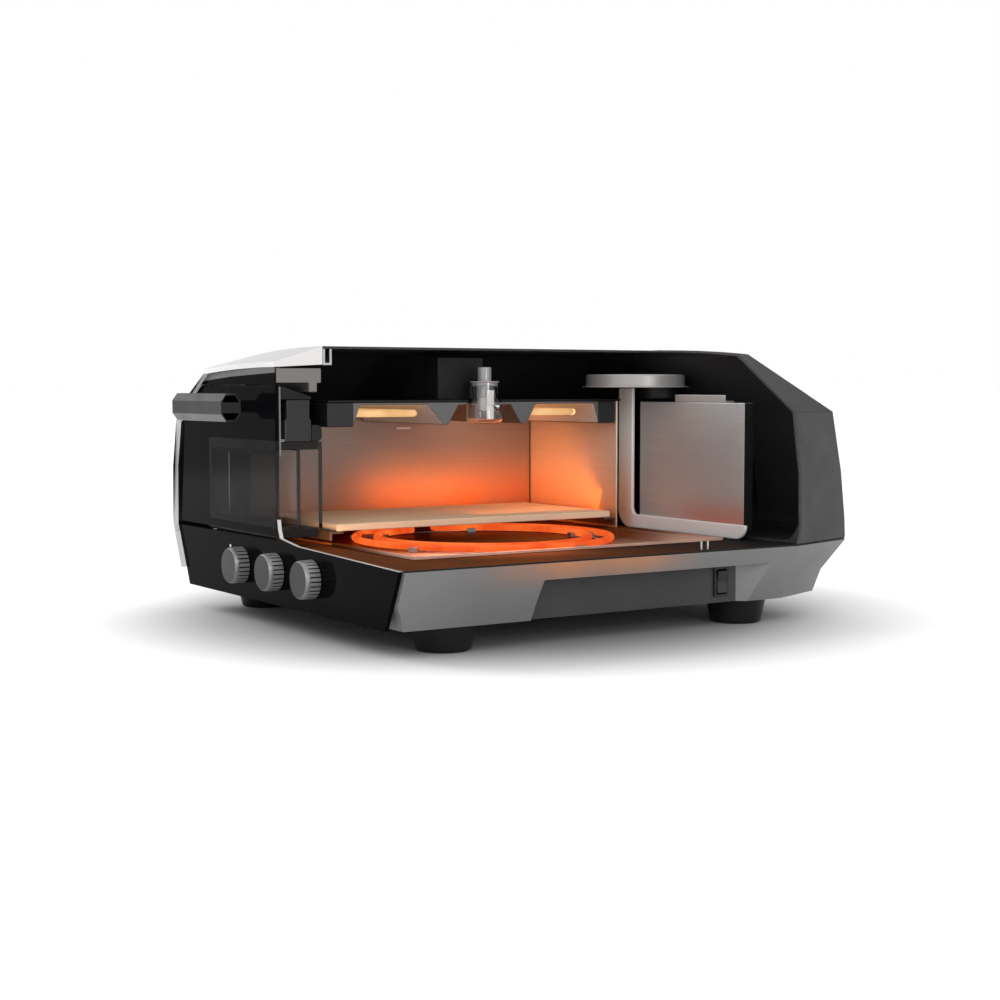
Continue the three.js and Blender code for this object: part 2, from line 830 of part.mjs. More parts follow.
addSolid('base_shell', 'base_grey', baseShell());
addSolid('base_deck', 'brushed_steel', baseDeck());
const footGeometry = geometryOf(turned(footProfile(), 0, 0, facets.medium));
const footPlaces = {
  foot_front_left: [-footX, footFront, 0],
  foot_front_right: [footX, footFront, 0],
  foot_rear_left: [-footX, footRear, 0],
  foot_rear_right: [footX, footRear, 0],
};
for (const [name, place] of Object.entries(footPlaces)) {
  addPart(name, 'rubber', footGeometry.clone(), place);
}

// Upper shell and rear cover, from one lofted outline
const shellBottom = deckTop + seatGap;

function shellLoft(front, inset, bottom) {
  const lift = (height) => height - inset;
  const rings = [
    planRing(seamHalfWidth, front, sideCrease, rearHalfWidth, rearDepth, bottom, inset),
    planRing(waistHalfWidth, front, sideCrease, rearHalfWidth, waistRear, waistHeight, inset),
    planRing(flankHalfWidth, front, sideCrease, flankRearHalfWidth, flankRear, flankHeight, inset),
    planRing(
      shoulderHalfWidth, front, sideCrease, shoulderRearHalfWidth, shoulderRear, shoulderHeight, inset,
    ),
  ];
  for (const share of roofArchShares) {
    const height = roofHeight - (roofHeight - roofEdgeHeight) * share * share;
    const half = roofEdgeHalfWidth * share + inset;
    const rearHalf = roofRearHalfWidth * share + inset;
    rings.push(planRing(half, front, sideCrease, rearHalf, roofRear, lift(height), inset));
  }
  return loft(rings);
}

function upperShell() {
  const outer = shellLoft(visorDepth + seatGap, 0, shellBottom);
  const inner = shellLoft(visorDepth - overrun, shellWall, shellBottom - overrun);
  const keep = block(
    -waistHalfWidth - overrun,
    0,
    0,
    cutDepth,
    0,
    roofHeight + overrun,
  );
  return cut(outer, inner).intersect(keep);
}

function rearCorner(share) {
  const turn = (share * Math.PI) / 2;
  return {
    inset: rearCornerRadius * (1 - Math.sin(turn)),
    height: shellBottom + shellWall + rearCornerRadius * (1 - Math.cos(turn)),
  };
}

function rearShell() {
  const outer = shellLoft(cutDepth + seatGap, 0, shellBottom);
  const low = rearCornerShares.map((share) => {
    const corner = rearCorner(share);
    const inset = shellWall + corner.inset;
    const front = cutDepth - overrun;
    return planRing(seamHalfWidth, front, sideCrease, rearHalfWidth, rearDepth, corner.height, inset);
  });
  const upper = [];
  const inset = shellWall;
  const front = cutDepth - overrun;
  upper.push(planRing(waistHalfWidth, front, sideCrease, rearHalfWidth, waistRear, waistHeight, inset));
  upper.push(planRing(flankHalfWidth, front, sideCrease, flankRearHalfWidth, flankRear, flankHeight, inset));
  upper.push(planRing(
    shoulderHalfWidth, front, sideCrease, shoulderRearHalfWidth, shoulderRear, shoulderHeight, inset,
  ));
  for (const share of roofArchShares) {
    const height = roofHeight - (roofHeight - roofEdgeHeight) * share * share - inset;
    const half = roofEdgeHalfWidth * share + inset;
    upper.push(planRing(half, front, sideCrease, roofRearHalfWidth * share + inset, roofRear, height, inset));
  }
  let cover = cut(outer, loft([...low, ...upper]));
  for (let i = 0; i < ventSlots; i += 1) {
    const x = (i - (ventSlots - 1) / 2) * ventPitch;
    cover = cut(cover, block(
      x - ventWidth / 2,
      x + ventWidth / 2,
      shoulderRear - overrun,
      rearDepth + overrun,
      ventBottom,
      ventTop,
    ));
  }
  return cover;
}

addSolid('upper_shell', 'shell_grey', upperShell());
addSolid('rear_shell', 'shell_grey', rearShell());

// Fascia outline: left half from the top centre down to the chin, as [half width, height]
const archShares = [0, 0.25, 0.5, 0.75, 1];
const fasciaSide = [
  ...archShares.map((share) => [
    fasciaArchHalf * share,
    fasciaTop - (fasciaTop - fasciaArchEnd) * share * share,
  ]),
  [fasciaCheekHalf, fasciaCheekHeight],
  [fasciaShoulderHalf, fasciaShoulderHeight],
  [fasciaSideHalf, fasciaSideHeight],
  [fasciaWaistHalf, fasciaWaistHeight],
  [fasciaChinHalf, fasciaChinHeight],
];
const mirrorX = ([x, z]) => [-x, z];

// The outline grown outwards by a distance, mitred at its corners
function grownSide(distance) {
  return fasciaSide.map((point, i) => {
    const before = fasciaSide[Math.max(i - 1, 0)];
    const after = fasciaSide[Math.min(i + 1, fasciaSide.length - 1)];
    const into = new THREE.Vector2(point[0] - before[0], point[1] - before[1]).normalize();
    const out = new THREE.Vector2(after[0] - point[0], after[1] - point[1]).normalize();
    if (i === 0) {
      into.copy(out);
    }
    if (i === fasciaSide.length - 1) {
      out.copy(into);
    }
    const normal = new THREE.Vector2(-into.y - out.y, into.x + out.x).normalize();
    const stretch = distance / Math.max(normal.dot(new THREE.Vector2(-out.y, out.x)), leastMitreShare);
    const x = i === 0 ? 0 : point[0] + normal.x * stretch;
    return [x, point[1] + normal.y * stretch];
  });
}

function outlinePlate(distance, from, to) {
  const side = grownSide(distance);
  const left = side.map(mirrorX);
  const right = side.slice(1).reverse();
  return alongY([...left, ...right], from, to);
}

function controlStrip() {
  const plate = outlinePlate(0, 0, fasciaThick);
  const wide = fasciaWaistHalf + overrun;
  const top = roofHeight + overrun;
  const leftAway = block(-wide, seatGap, -overrun, overrun, fasciaStripHeight, top);
  const slope = alongY([
    [seatGap + cutLipWidth, top],
    [seatGap + cutLipWidth, cutLipHeight],
    [seatGap + cutLipWidth / cutLipShare, (cutLipHeight + cutSlopeInner) / 2],
    [seatGap + cutLipReach / 2, cutSlopeInner + cutLipWidth / 2],
    [cutLipReach, cutSlopeInner],
    [cutSlopeReach, cutSlopeMiddle],
    [wide, seamHeight],
    [wide, top],
  ].reverse(), -overrun, overrun);
  const above = block(-wide, wide, -overrun, overrun, cutLipHeight, top);
  return cut(plate, leftAway, slope, above, ...controlHoles(-overrun, overrun));
}

function topStrip() {
  const plate = outlinePlate(0, 0, fasciaSkinThick);
  const keep = block(-waistHalfWidth, 0, -overrun, overrun, doorTop + fasciaStripGap, roofHeight);
  return plate.intersect(keep);
}

// Where the shell's section lies beside each point of the fascia's outline
function shellSideAt(side) {
  const arch = archShares.length;
  const between = (height, [x0, z0], [x1, z1]) => [x0 + ((x1 - x0) * (height - z0)) / (z1 - z0), height];
  const seam = [seamHalfWidth, seamHeight];
  const waist = [waistHalfWidth, waistHeight];
  const flank = [flankHalfWidth, flankHeight];
  const shoulder = [shoulderHalfWidth, shoulderHeight];
  return side.map(([half, height], i) => {
    if (i < arch) {
      const share = archShares[i];
      return [roofEdgeHalfWidth * share, roofHeight - (roofHeight - roofEdgeHeight) * share * share];
    }
    if (i === arch) {
      const share = (half - roofEdgeHalfWidth) / (shoulderHalfWidth - roofEdgeHalfWidth);
      return [half, roofEdgeHeight + (shoulderHeight - roofEdgeHeight) * share];
    }
    if (i === arch + 1) {
      return shoulder;
    }
    return height > waistHeight ? between(height, flank, waist) : between(height, waist, seam);
  });
}

// The visor and left trim: a skin from the fascia's rim back to the roof's front edge
function visorSolid() {
  const low = deckTop + seatGap;
  const dropTo = (side) => {
    const kept = side.slice(0, -1);
    const [x0, z0] = kept[kept.length - 1];
    const [x1, z1] = side[side.length - 1];
    return [...kept, [x0 + ((x1 - x0) * (z0 - low)) / (z0 - z1), low]];
  };
  const inner = dropTo(grownSide(seatGap));
  const outer = dropTo(grownSide(rimWall));
  const rear = shellSideAt(dropTo(fasciaSide));
  const arch = archShares.length;
  const rings = inner.map(([half, height], i) => {
    const inArch = i < arch;
    const proud = inArch ? rimProud * archShares[i] ** 2 : rimProud;
    const frontOuter = inArch ? [half, height + visorLip] : outer[i];
    const rearInner = inArch
      ? [half, height + rimWall]
      : [Math.max(half, rear[i][0] - rimWall), height];
    return [
      [-half, -proud, height],
      [-frontOuter[0], -proud, frontOuter[1]],
      [-rear[i][0], visorDepth, rear[i][1]],
      [-rearInner[0], visorDepth, rearInner[1]],
    ];
  });
  return loft(rings);
}

addSolid('control_fascia', 'gloss_black', controlStrip());
addSolid('top_fascia', 'gloss_black', topStrip());

function lowerRim() {
  const ring = cut(
    outlinePlate(rimWall, -rimProud, rimBack),
    outlinePlate(seatGap, -rimProud - overrun, rimBack + overrun),
  );
  const wide = fasciaWaistHalf + overrun;
  return ring.intersect(block(-wide, 0, -overrun, overrun, chinHeight - rimEndDrop, deckTop));
}

addSolid('visor_trim', 'satin_silver', visorSolid());
addSolid('corner_trim', 'satin_silver', lowerRim());

// Front frame under the visor, and the rail that carries the roof's front edge
function frontFrame() {
  const reach = frameReach;
  const drop = fasciaTop - fasciaArchEnd;
  const top = (share) => fasciaTop - drop * (share * reach / fasciaArchHalf) ** 2 - frameTopGap;
  const upper = archShares.map((share) => [-reach * share, top(share)]);
  const outline = [[0, frameBottom], ...upper, [-reach, frameBottom]];
  const bar = alongY(outline, fasciaSkinThick + seatGap, frameRear);
  const legFoot = frameBottom - frameLegHeight;
  const leg = block(-reach, 0, frameLegFront, frameLegRear, legFoot, frameBottom + frameTopGap);
  return join(bar, leg);
}

function roofRail() {
  const front = visorDepth + railFrontGap;
  const back = front + roofRailDepth;
  const underRoof = [0, ...roofArchShares.slice().reverse()].map((share) => [
    -roofEdgeHalfWidth * share,
    roofHeight - (roofHeight - roofEdgeHeight) * share * share - shellWall - seatGap,
  ]);
  const reach = roofEdgeHalfWidth;
  const side = [[0, roofRailBottom], ...underRoof, [-reach, roofRailBottom]];
  const web = block(-reach, 0, front, back, roofRailBottom, roofRailBottom + roofRailWall);
  return join(alongY(side, front, front + roofRailWall), alongY(side, back - roofRailWall, back), web);
}

addSolid('front_frame', 'light_grey', frontFrame());
addSolid('roof_rail', 'zinc', roofRail());

// Chamber: tray, walls, ceiling, insulation
const flangeTop = deckTop + seatGap + trayFlangeThick;
const trayHalf = chamberHalfWidth + wallSheet + seatGap + trayHem;
const panFloorTop = flangeTop - panDepth;

function elementTray() {
  const bottom = deckTop + seatGap;
  const flange = block(-trayHalf, trayHalf, trayFront, trayRear, bottom, flangeTop + trayHemHeight);
  const insideHem = block(
    -trayHalf + trayHem,
    trayHalf - trayHem,
    trayFront + trayHem,
    trayRear - trayHem,
    flangeTop,
    flangeTop + overrun,
  );
  const ring = (grow, height) => [
    [-panHalfWidth - grow, panFront - grow, height],
    [panHalfWidth + grow, panFront - grow, height],
    [panHalfWidth + grow, panRear + grow, height],
    [-panHalfWidth - grow, panRear + grow, height],
  ];
  const under = loft([
    ring(-panSlope, panFloorTop - trayFlangeThick),
    ring(trayFlangeThick, flangeTop - trayFlangeThick),
    ring(trayFlangeThick, flangeTop),
  ]);
  const dish = loft([
    ring(-panSlope - trayFlangeThick, panFloorTop),
    ring(0, flangeTop - trayFlangeThick),
    ring(0, flangeTop + overrun),
  ]);
  return cut(join(flange, under), insideHem, dish);
}

const wallBottom = flangeTop + seatGap;
const wallTop = ceilingHeight - seatGap;
addSolid('element_tray', 'brushed_steel', elementTray());
addSolid('chamber_side_wall', 'brushed_steel', block(
  -chamberHalfWidth - wallSheet,
  -chamberHalfWidth,
  chamberFront,
  chamberRear + wallSheet,
  wallBottom,
  wallTop,
));
addSolid('chamber_rear_wall', 'brushed_steel', block(
  -chamberHalfWidth + seatGap, 0, chamberRear, chamberRear + wallSheet, wallBottom, wallTop,
));

const lampWellRadius = lampGlassRadius + lampHoleGap;

function ceilingPlate() {
  const top = ceilingHeight + ceilingThick;
  const plate = block(-ceilingHalfWidth, 0, chamberFront, ceilingRear, ceilingHeight, top);
  const hole = rod('z', lampWellRadius, ceilingHeight - overrun, top + overrun, [0, lampDepth], facets.large);
  return cut(plate, hole);
}

function ceilingReflector() {
  const top = ceilingHeight - seatGap;
  const outline = [
    [reflectorFront, top],
    [reflectorFront, reflectorBottom],
    [frontBlockRear, reflectorBottom],
    [recessOneFront, recessCeiling],
    [recessOneRear, recessCeiling],
    [ridgeOneTip - ridgeTipHalf, ridgeTipHeight],
    [ridgeOneTip + ridgeTipHalf, ridgeTipHeight],
    [bayFront, recessCeiling],
    [bayRear, recessCeiling],
    [ridgeTwoTip - ridgeTipHalf, ridgeTipHeight],
    [ridgeTwoTip + ridgeTipHalf, ridgeTipHeight],
    [recessTwoFront, recessCeiling],
    [recessTwoRear, recessCeiling],
    [rearBlockFront, reflectorBottom],
    [reflectorRear, reflectorBottom],
    [reflectorRear, top],
  ];
  const sheet = alongX(outline, -chamberHalfWidth + reflectorSideGap, 0);
  const low = reflectorBottom - overrun;
  const well = rod('z', lampWellRadius, low, top + overrun, [0, lampDepth], facets.large);
  return cut(sheet, well);
}

addSolid('ceiling_plate', 'inner_black', ceilingPlate());
addSolid('ceiling_reflector', 'cast_grey', ceilingReflector());
addSolid('side_insulation', 'insulation', block(
  -chamberHalfWidth - wallSheet - seatGap - insulationThick,
  -chamberHalfWidth - wallSheet - seatGap,
  chamberFront,
  chamberRear,
  deckTop + trayHemHeight + trayFlangeThick + seatGap * 3,
  wallTop - insulationTopGap,
));
addSolid('rear_insulation', 'insulation', block(
  -chamberHalfWidth,
  -frameColumn - insulationTopGap,
  chamberRear + wallSheet + seatGap,
  frameFace - seatGap,
  flangeTop + trayHemHeight + seatGap,
  wallTop - insulationTopGap,
));

// Stone and the rails it rests on
const stoneBottom = stoneTop - stoneThick;
const railTop = stoneBottom - seatGap;
addSolid('baking_stone', 'stone', block(
  -chamberHalfWidth + stoneSideGap, 0, stoneFront, stoneRear, stoneBottom, stoneTop,
));

function stoneRail(front, rear, backY) {
  const flat = block(-chamberHalfWidth + seatGap, 0, front, rear, railTop - railThick, railTop);
  const lip = block(-chamberHalfWidth + seatGap, 0, backY, backY + railThick, railTop - railLip, railTop);
  return join(flat, lip);
}

const railFront = stoneFront - railWidth / 2;
const railRear = chamberRear - seatGap;
const sideRunner = block(
  -chamberHalfWidth + seatGap,
  -chamberHalfWidth + railWidth,
  railFront,
  railRear,
  railTop - railThick,
  railTop,
);
addSolid('stone_frame', 'light_grey', join(
  stoneRail(railFront, stoneFront + railWidth / 2, railFront),
  sideRunner,
  stoneRail(stoneRear - railWidth / 2, railRear, railRear - railThick),
));

// Lower element: one tube in two rings joined by a bend, with both tails to the left
function lowerPath() {
  const points = [];
  const inner = lowerInnerRadius;
  const outer = lowerOuterRadius;
  const start = Math.PI + lowerGapAngle;
  const sweep = 2 * Math.PI - 2 * lowerGapAngle;
  const outerAt = (turn) => [outer * Math.cos(turn), outer * Math.sin(turn)];
  const innerAt = (turn) => [inner * Math.cos(turn), inner * Math.sin(turn)];
  const half = lowerSteps / 2;
  for (let i = 0; i <= half; i += 1) {
    points.push(outerAt(start + (sweep * i) / half));
  }
  const bendMiddle = (outer + inner) / 2;
  const bendRadius = (outer - inner) / 2;
  const end = start + sweep;
  for (let i = 1; i < lowerBendSteps; i += 1) {
    const turn = (Math.PI * i) / lowerBendSteps;
    const radius = bendMiddle + bendRadius * Math.cos(turn);
    const along = end + (bendRadius / bendMiddle) * Math.sin(turn);
    points.push([radius * Math.cos(along), radius * Math.sin(along)]);
  }
  for (let i = 0; i <= half; i += 1) {
    points.push(innerAt(end - (sweep * i) / half));
  }
  return points;
}

function tubeAlong(points3, diameter, steps) {
  const curve = new THREE.CatmullRomCurve3(points3, false, 'centripetal');
  const circle = new THREE.Shape(Array.from({ length: tubeSides }, (_, i) => {
    const turn = (2 * Math.PI * (i + 0.5)) / tubeSides;
    return new THREE.Vector2((diameter / 2) * Math.cos(turn), (diameter / 2) * Math.sin(turn));
  }));
  return new THREE.ExtrudeGeometry(circle, { steps, extrudePath: curve });
}

// Least distance between parts of a tube that lie further apart along it than a few diameters
function leastSelfGap(points3, diameter) {
  const curve = new THREE.CatmullRomCurve3(points3, false, 'centripetal');
  const marks = curve.getSpacedPoints(points3.length * gapMarksPerPoint);
  const stride = curve.getLength() / (marks.length - 1);
  const apart = Math.ceil((gapSkipDiameters * diameter) / stride);
  let least = Infinity;
  for (let i = 0; i < marks.length; i += 1) {
    for (let j = i + apart; j < marks.length; j += 1) {
      least = Math.min(least, marks[i].distanceTo(marks[j]) - diameter);
    }
  }
  return least;
}

const lowerHeight = panFloorTop + seatGap * 2 + lowerTube / 2 + clipWall / 2;
const lowerPoints = lowerPath().map(([x, y]) => new THREE.Vector3(x, y + lowerCentre, lowerHeight));
addSolid('lower_element', 'element_glow', solidOf(tubeAlong(lowerPoints, lowerTube, lowerTubeSteps)));
console.log(`lower element least gap to itself ${leastSelfGap(lowerPoints, lowerTube).toFixed(2)} mm`);

function elementClips() {
  const middle = (lowerOuterRadius + lowerInnerRadius) / 2;
  const halfSpan = (lowerOuterRadius - lowerInnerRadius) / 2 + clipReach;
  const bottom = panFloorTop + seatGap;
  const top = lowerHeight;
  const ring = (radius, height) => (
    rod('z', radius, bottom - overrun, height, [0, lowerCentre], facets.large * 2)
  );
  const annulus = (radius) => cut(
    ring(radius + lowerTube / 2 + seatGap, top + overrun),
    ring(radius - lowerTube / 2 - seatGap, top + overrun * 2),
  );
  let clips = null;
  for (let i = 0; i < clipCount; i += 1) {
    const turn = clipStartAngle + (2 * Math.PI * i) / clipCount - Math.PI / 2;
    const outline = rectangle(middle - halfSpan, middle + halfSpan, -clipWidth / 2, clipWidth / 2);
    const turnedOutline = outline.map(([u, v]) => [
      u * Math.cos(turn) - v * Math.sin(turn),
      u * Math.sin(turn) + v * Math.cos(turn) + lowerCentre,
    ]);
    const bar = alongZ(turnedOutline, bottom, top);
    clips = clips ? join(clips, bar) : bar;
  }
  const saddles = join(annulus(lowerOuterRadius), annulus(lowerInnerRadius));
  const groove = saddles.intersect(block(
    -chamberHalfWidth, chamberHalfWidth, 0, cutDepth, lowerHeight - lowerTube / 2 - seatGap, top + overrun,
  ));
  const strapTop = bottom + clipStrap;
  const strap = cut(
    rod('z', middle + clipStrap * 2, bottom, strapTop, [0, lowerCentre], facets.large),
    rod('z', middle - clipStrap * 2, bottom - overrun, strapTop + overrun, [0, lowerCentre], facets.large),
  );
  return join(cut(clips, groove), strap);
}

addSolid('element_support', 'zinc', elementClips());

// Upper elements: hairpins whose tails reach the side wall
function hairpin(front, rear) {
  const tail = -chamberHalfWidth + seatGap;
  const bend = Math.min(upperBend, (rear - front) * upperBendShare);
  const turnIn = -upperNear - bend;
  const points = [];
  for (let i = 0; i < upperStraightSteps; i += 1) {
    const share = i / upperStraightSteps;
    points.push([tail + (turnIn - tail) * share, front]);
  }
  points.push(...arc([turnIn, front + bend], bend, -Math.PI / 2, 0, upperBendSteps));
  points.push(...arc([turnIn, rear - bend], bend, 0, Math.PI / 2, upperBendSteps));
  for (let i = upperStraightSteps - 1; i >= 0; i -= 1) {
    const share = i / upperStraightSteps;
    points.push([tail + (turnIn - tail) * share, rear]);
  }
  return points.map(([x, y]) => new THREE.Vector3(x, y, upperHeight));
}

const upperOne = hairpin(upperOneFront, upperOneRear);
const upperTwo = hairpin(upperTwoFront, upperTwoRear);
addSolid('upper_element_front', 'element_glow', solidOf(tubeAlong(upperOne, upperTube, upperTubeSteps)));
addSolid('upper_element_rear', 'element_glow', solidOf(tubeAlong(upperTwo, upperTube, upperTubeSteps)));
console.log(`upper element least gap to itself ${leastSelfGap(upperTwo, upperTube).toFixed(2)} mm`);

// Oven lamp
function lampGlass() {
  const fillet = (radius, height, bend) => footFilletShares.map((share) => {
    const turn = (share * Math.PI) / 2;
    return [radius - bend + bend * Math.sin(turn), height + bend - bend * Math.cos(turn)];
  });
  const cup = (inset, top) => turned([
    [0, lampGlassBottom + inset],
    ...fillet(lampGlassRadius - inset, lampGlassBottom + inset, lampGlassFillet - inset),
    [lampGlassRadius - inset, lampStepHeight - inset],
    [lampThroatRadius - inset, lampStepHeight - inset],
    [lampThroatRadius - inset, top],
    [0, top],
  ], 0, lampDepth);
  return cut(cup(0, lampGlassTop), cup(lampGlassWall, lampGlassTop + overrun));
}

const lampCapTop = lampGlassTop + seatGap + lampCapThick;

function lampSocket() {
  const plugRadius = lampThroatRadius - lampGlassWall - seatGap;
  return turned([
    [0, lampStemBottom],
    [lampStemRadius, lampStemBottom],
    [lampStemRadius, lampGlassTop - lampPlugDepth],
    [plugRadius, lampGlassTop - lampPlugDepth],
    [plugRadius, lampGlassTop + seatGap],
    [lampThroatRadius, lampGlassTop + seatGap],
    [lampThroatRadius, lampCapTop],
    [lampNeckRadius, lampCapTop],
    [lampNeckRadius, lampNeckTop],
    [0, lampNeckTop],
  ], 0, lampDepth);
}

function lampBulb() {
  const top = lampStemBottom - seatGap;
  const low = top - bulbLength;
  const tip = footFilletShares.map((share) => {
    const turn = (share * Math.PI) / 2;
    return [bulbRadius * Math.sin(turn), low + bulbRadius - bulbRadius * Math.cos(turn)];
  });
  return turned([...tip, [bulbRadius, top], [0, top]], 0, lampDepth, facets.small);
}

addSolid('lamp_glass', 'lamp_glass', lampGlass());
addSolid('lamp_socket', 'ceramic', lampSocket());
addSolid('lamp_bulb', 'white_light', lampBulb());

function lampBracket() {
  const right = -lampGlassRadius - seatGap;
  const left = right - bracketSideReach;
  const low = ceilingHeight + ceilingThick + seatGap;
  const box = block(left, right, bracketFront, bracketRear, low, bracketTop);
  const hollow = block(
    left + bracketWall,
    right - bracketWall,
    bracketFront + bracketWall,
    bracketRear - bracketWall,
    low - overrun,
    bracketTop - bracketWall,
  );
  const ear = block(
    right - bracketWall,
    -lampNeckRadius - seatGap,
    lampDepth - lampNeckRadius,
    lampDepth + lampNeckRadius,
    lampCapTop + seatGap,
    lampCapTop + seatGap + bracketWall,
  );
  return join(cut(box, hollow), ear);
}

addSolid('lamp_bracket', 'dark_plastic', lampBracket());

// Rear frame, panel and fan
function rearFrame() {
  const left = -frameColumn;
  const low = frameFootBottom;
  const footTop = low + frameFoot;
  const outerCentre = [left + frameOuterRadius, low + frameOuterRadius];
  const innerCentre = [frameInnerRadius, footTop + frameInnerRadius];
  const outline = [
    [left, frameTop],
    ...arc(outerCentre, frameOuterRadius, Math.PI, 1.5 * Math.PI, frameArcSteps),
    [frameLegReach - frameFoot, low],
    ...arc([frameLegReach - frameFoot, low + frameFoot], frameFoot, -Math.PI / 2, 0, frameArcSteps).slice(1),
    ...arc(innerCentre, frameInnerRadius, -Math.PI / 2, -Math.PI, frameArcSteps),
    [0, frameTop],
  ];
  return alongY(outline, frameFace, frameFace + frameThick);
}

const panelFace = frameFace + frameThick + seatGap;
addSolid('rear_frame', 'light_grey', rearFrame());

function rearPanel() {
  const sheet = block(panelLeft, panelRight, panelFace, panelFace + panelThick, panelBottom, panelTop);
  const foldLeft = panelRight - panelThick;
  const fold = block(foldLeft, panelRight, panelFace, panelFace + panelFold, panelBottom, panelTop);
  return join(sheet, fold);
}

addSolid('rear_panel', 'brushed_steel', rearPanel());

function fanHousing() {
  return turned([
    [0, fanBottom - fanFlangeThick],
    [fanFlangeRadius, fanBottom - fanFlangeThick],
    [fanFlangeRadius, fanBottom],
    [fanRadius, fanBottom],
    [fanRadius, fanTop - fanEdge],
    [fanRadius - fanEdge, fanTop],
    [0, fanTop],
  ], 0, fanDepth, facets.large);
}

addSolid('fan_housing', 'light_grey', fanHousing());
const fanUnderside = fanBottom - fanFlangeThick - seatGap;
addSolid('fan_motor', 'dark_plastic', turned([
  [0, motorBottom],
  [motorRadius - fanEdge, motorBottom],
  [motorRadius, motorBottom + fanEdge],
  [motorRadius, fanUnderside],
  [0, fanUnderside],
], 0, motorDepth));

function fanBracket() {
  const low = panelTop + seatGap;
  const plate = block(
    fanBracketLeft, fanBracketRight, panelFace, panelFace + panelThick, low, fanBracketTop,
  );
  const shelf = block(
    fanBracketLeft, fanBracketRight, panelFace, panelFace + fanBracketDepth, low, low + panelThick,
  );
  return join(plate, shelf);
}

addSolid('fan_bracket', 'light_grey', fanBracket());

// Door, built closed; it turns about the hinge line at its lower edge
function doorOuterGlass() {
  const plate = outlinePlate(-outerGlassSideGap, 0, outerGlass);
  const keep = block(-waistHalfWidth - overrun, 0, -overrun, overrun, doorBottom, doorTop);
  return plate.intersect(keep);
}

const outerBack = outerGlass + seatGap;
const innerFront = innerGlassFront - seatGap;
const barFront = outerBack + channelThick + seatGap;
const windowLeft = -windowHalfWidth;
const frameLeft = -doorFrameHalfWidth;
addSolid('door_outer_glass', 'gloss_black', doorOuterGlass());
addSolid('door_middle_glass', 'glass', block(
  windowLeft - seatGap,
  0,
  middleGlassFront,
  middleGlassFront + middleGlassThick,
  doorRailTop + seatGap,
  doorBarBottom - seatGap,
));
addSolid('door_inner_glass', 'glass', block(
  frameLeft, 0, innerGlassFront, innerGlassFront + innerGlassThick, innerGlassBottom, doorBarTop,
));
addSolid('door_bottom_rail', 'inner_black', alongX([
  [outerBack, doorRailBottom],
  [hingeDepth - doorLipSetBack, doorRailBottom],
  [hingeDepth - doorLipSetBack, doorLipBottom],
  [hingeDepth - doorLipSetBack + doorLipThick, doorLipBottom],
  [hingeDepth - doorLipSetBack + doorLipThick, doorRailBottom],
  [innerFront - railThick, doorRailBottom],
  [innerFront, doorRailBottom + railThick],
  [innerFront, doorRailTop],
  [outerBack, doorRailTop],
], frameLeft, 0));
addSolid('door_side_rail', 'inner_black', block(
  frameLeft, frameLeft + sideRailWidth, barFront, innerFront, doorRailTop + seatGap, doorBarBottom - seatGap,
));
addSolid('door_cross_bar', 'inner_black', block(
  frameLeft, 0, barFront, innerFront, doorBarBottom, doorBarTop,
));

const blockBottom = doorBarTop + seatGap;
addSolid('door_block', 'cast_grey', alongX([
  [doorBlockFront, blockBottom],
  [doorBlockRear, blockBottom],
  [doorBlockRear, doorBlockStep],
  [doorBlockRear - doorBlockRelief, doorBlockStep + doorBlockRelief],
  [doorBlockRear - doorBlockRelief, doorBlockTop],
  [doorBlockFront + doorBlockRelief, doorBlockTop],
  [doorBlockFront + doorBlockRelief, doorBlockStep + doorBlockRelief],
  [doorBlockFront, doorBlockStep],
], frameLeft, 0));
addSolid('door_cap', 'inner_black', alongX([
  [doorCapFront, doorBlockTop + seatGap],
  [doorBlockRear, doorBlockTop + seatGap],
  [doorBlockRear, doorCapRearTop],
  [doorCapFront + channelThick, doorCapTop],
  [doorCapFront, doorCapTop],
], frameLeft, 0));
addSolid('door_channel', 'light_grey', alongX([
  [outerBack, channelBottom],
  [outerBack + channelThick, channelBottom],
  [outerBack + channelThick, blockBottom],
  [outerBack + channelThick + channelHookReach, blockBottom],
  [outerBack + channelThick + channelHookReach, blockBottom + channelHookThick],
  [outerBack + channelThick, blockBottom + channelHookThick],
  [outerBack + channelThick, doorCapTop],
  [outerBack, doorCapTop],
], frameLeft, 0));

function doorSeal() {
  const low = blockBottom;
  const front = doorBlockRear + seatGap;
  const rear = innerGlassFront + innerGlassThick;
  return alongX([
    [front, low],
    ...arc([rear - sealRadius, low + sealRadius], sealRadius, -Math.PI / 2, 0, 4),
    ...arc([rear - sealRadius, sealTop - sealRadius], sealRadius, 0, Math.PI / 2, 4),
    [front, sealTop],
  ], frameLeft, 0);
}

addSolid('door_seal', 'rubber', doorSeal());

// Handle: a hollow eight-sided bar on a post
function handleOutline(inset) {
  const tall = handleHalfTall - inset;
  const deep = handleHalfDeep - inset;
  return [
    [-handleFlatHalfDeep, -tall], [handleFlatHalfDeep, -tall],
    [deep, -handleFlatHalfTall], [deep, handleFlatHalfTall],
    [handleFlatHalfDeep, tall], [-handleFlatHalfDeep, tall],
    [-deep, handleFlatHalfTall], [-deep, -handleFlatHalfTall],
  ].map(([y, z]) => [y + handleDepth, z + handleHeight]);
}

function handleBar() {
  const bar = alongX(handleOutline(0), -handleHalfLength, 0);
  const bore = alongX(handleOutline(handleWall), -handleHalfLength + handleCap, overrun);
  const web = block(
    -handleHalfLength + handleCap / 2,
    overrun * 2,
    handleDepth - handleHalfDeep,
    handleDepth + handleHalfDeep,
    handleHeight - handleWeb,
    handleHeight + handleWeb,
  );
  return cut(bar, cut(bore, web));
}

addSolid('handle_bar', 'handle_grey', handleBar());
addSolid('handle_post', 'handle_grey', rod(
  'y', postRadius, handleDepth + handleHalfDeep + seatGap, -seatGap, [postX, handleHeight],
));

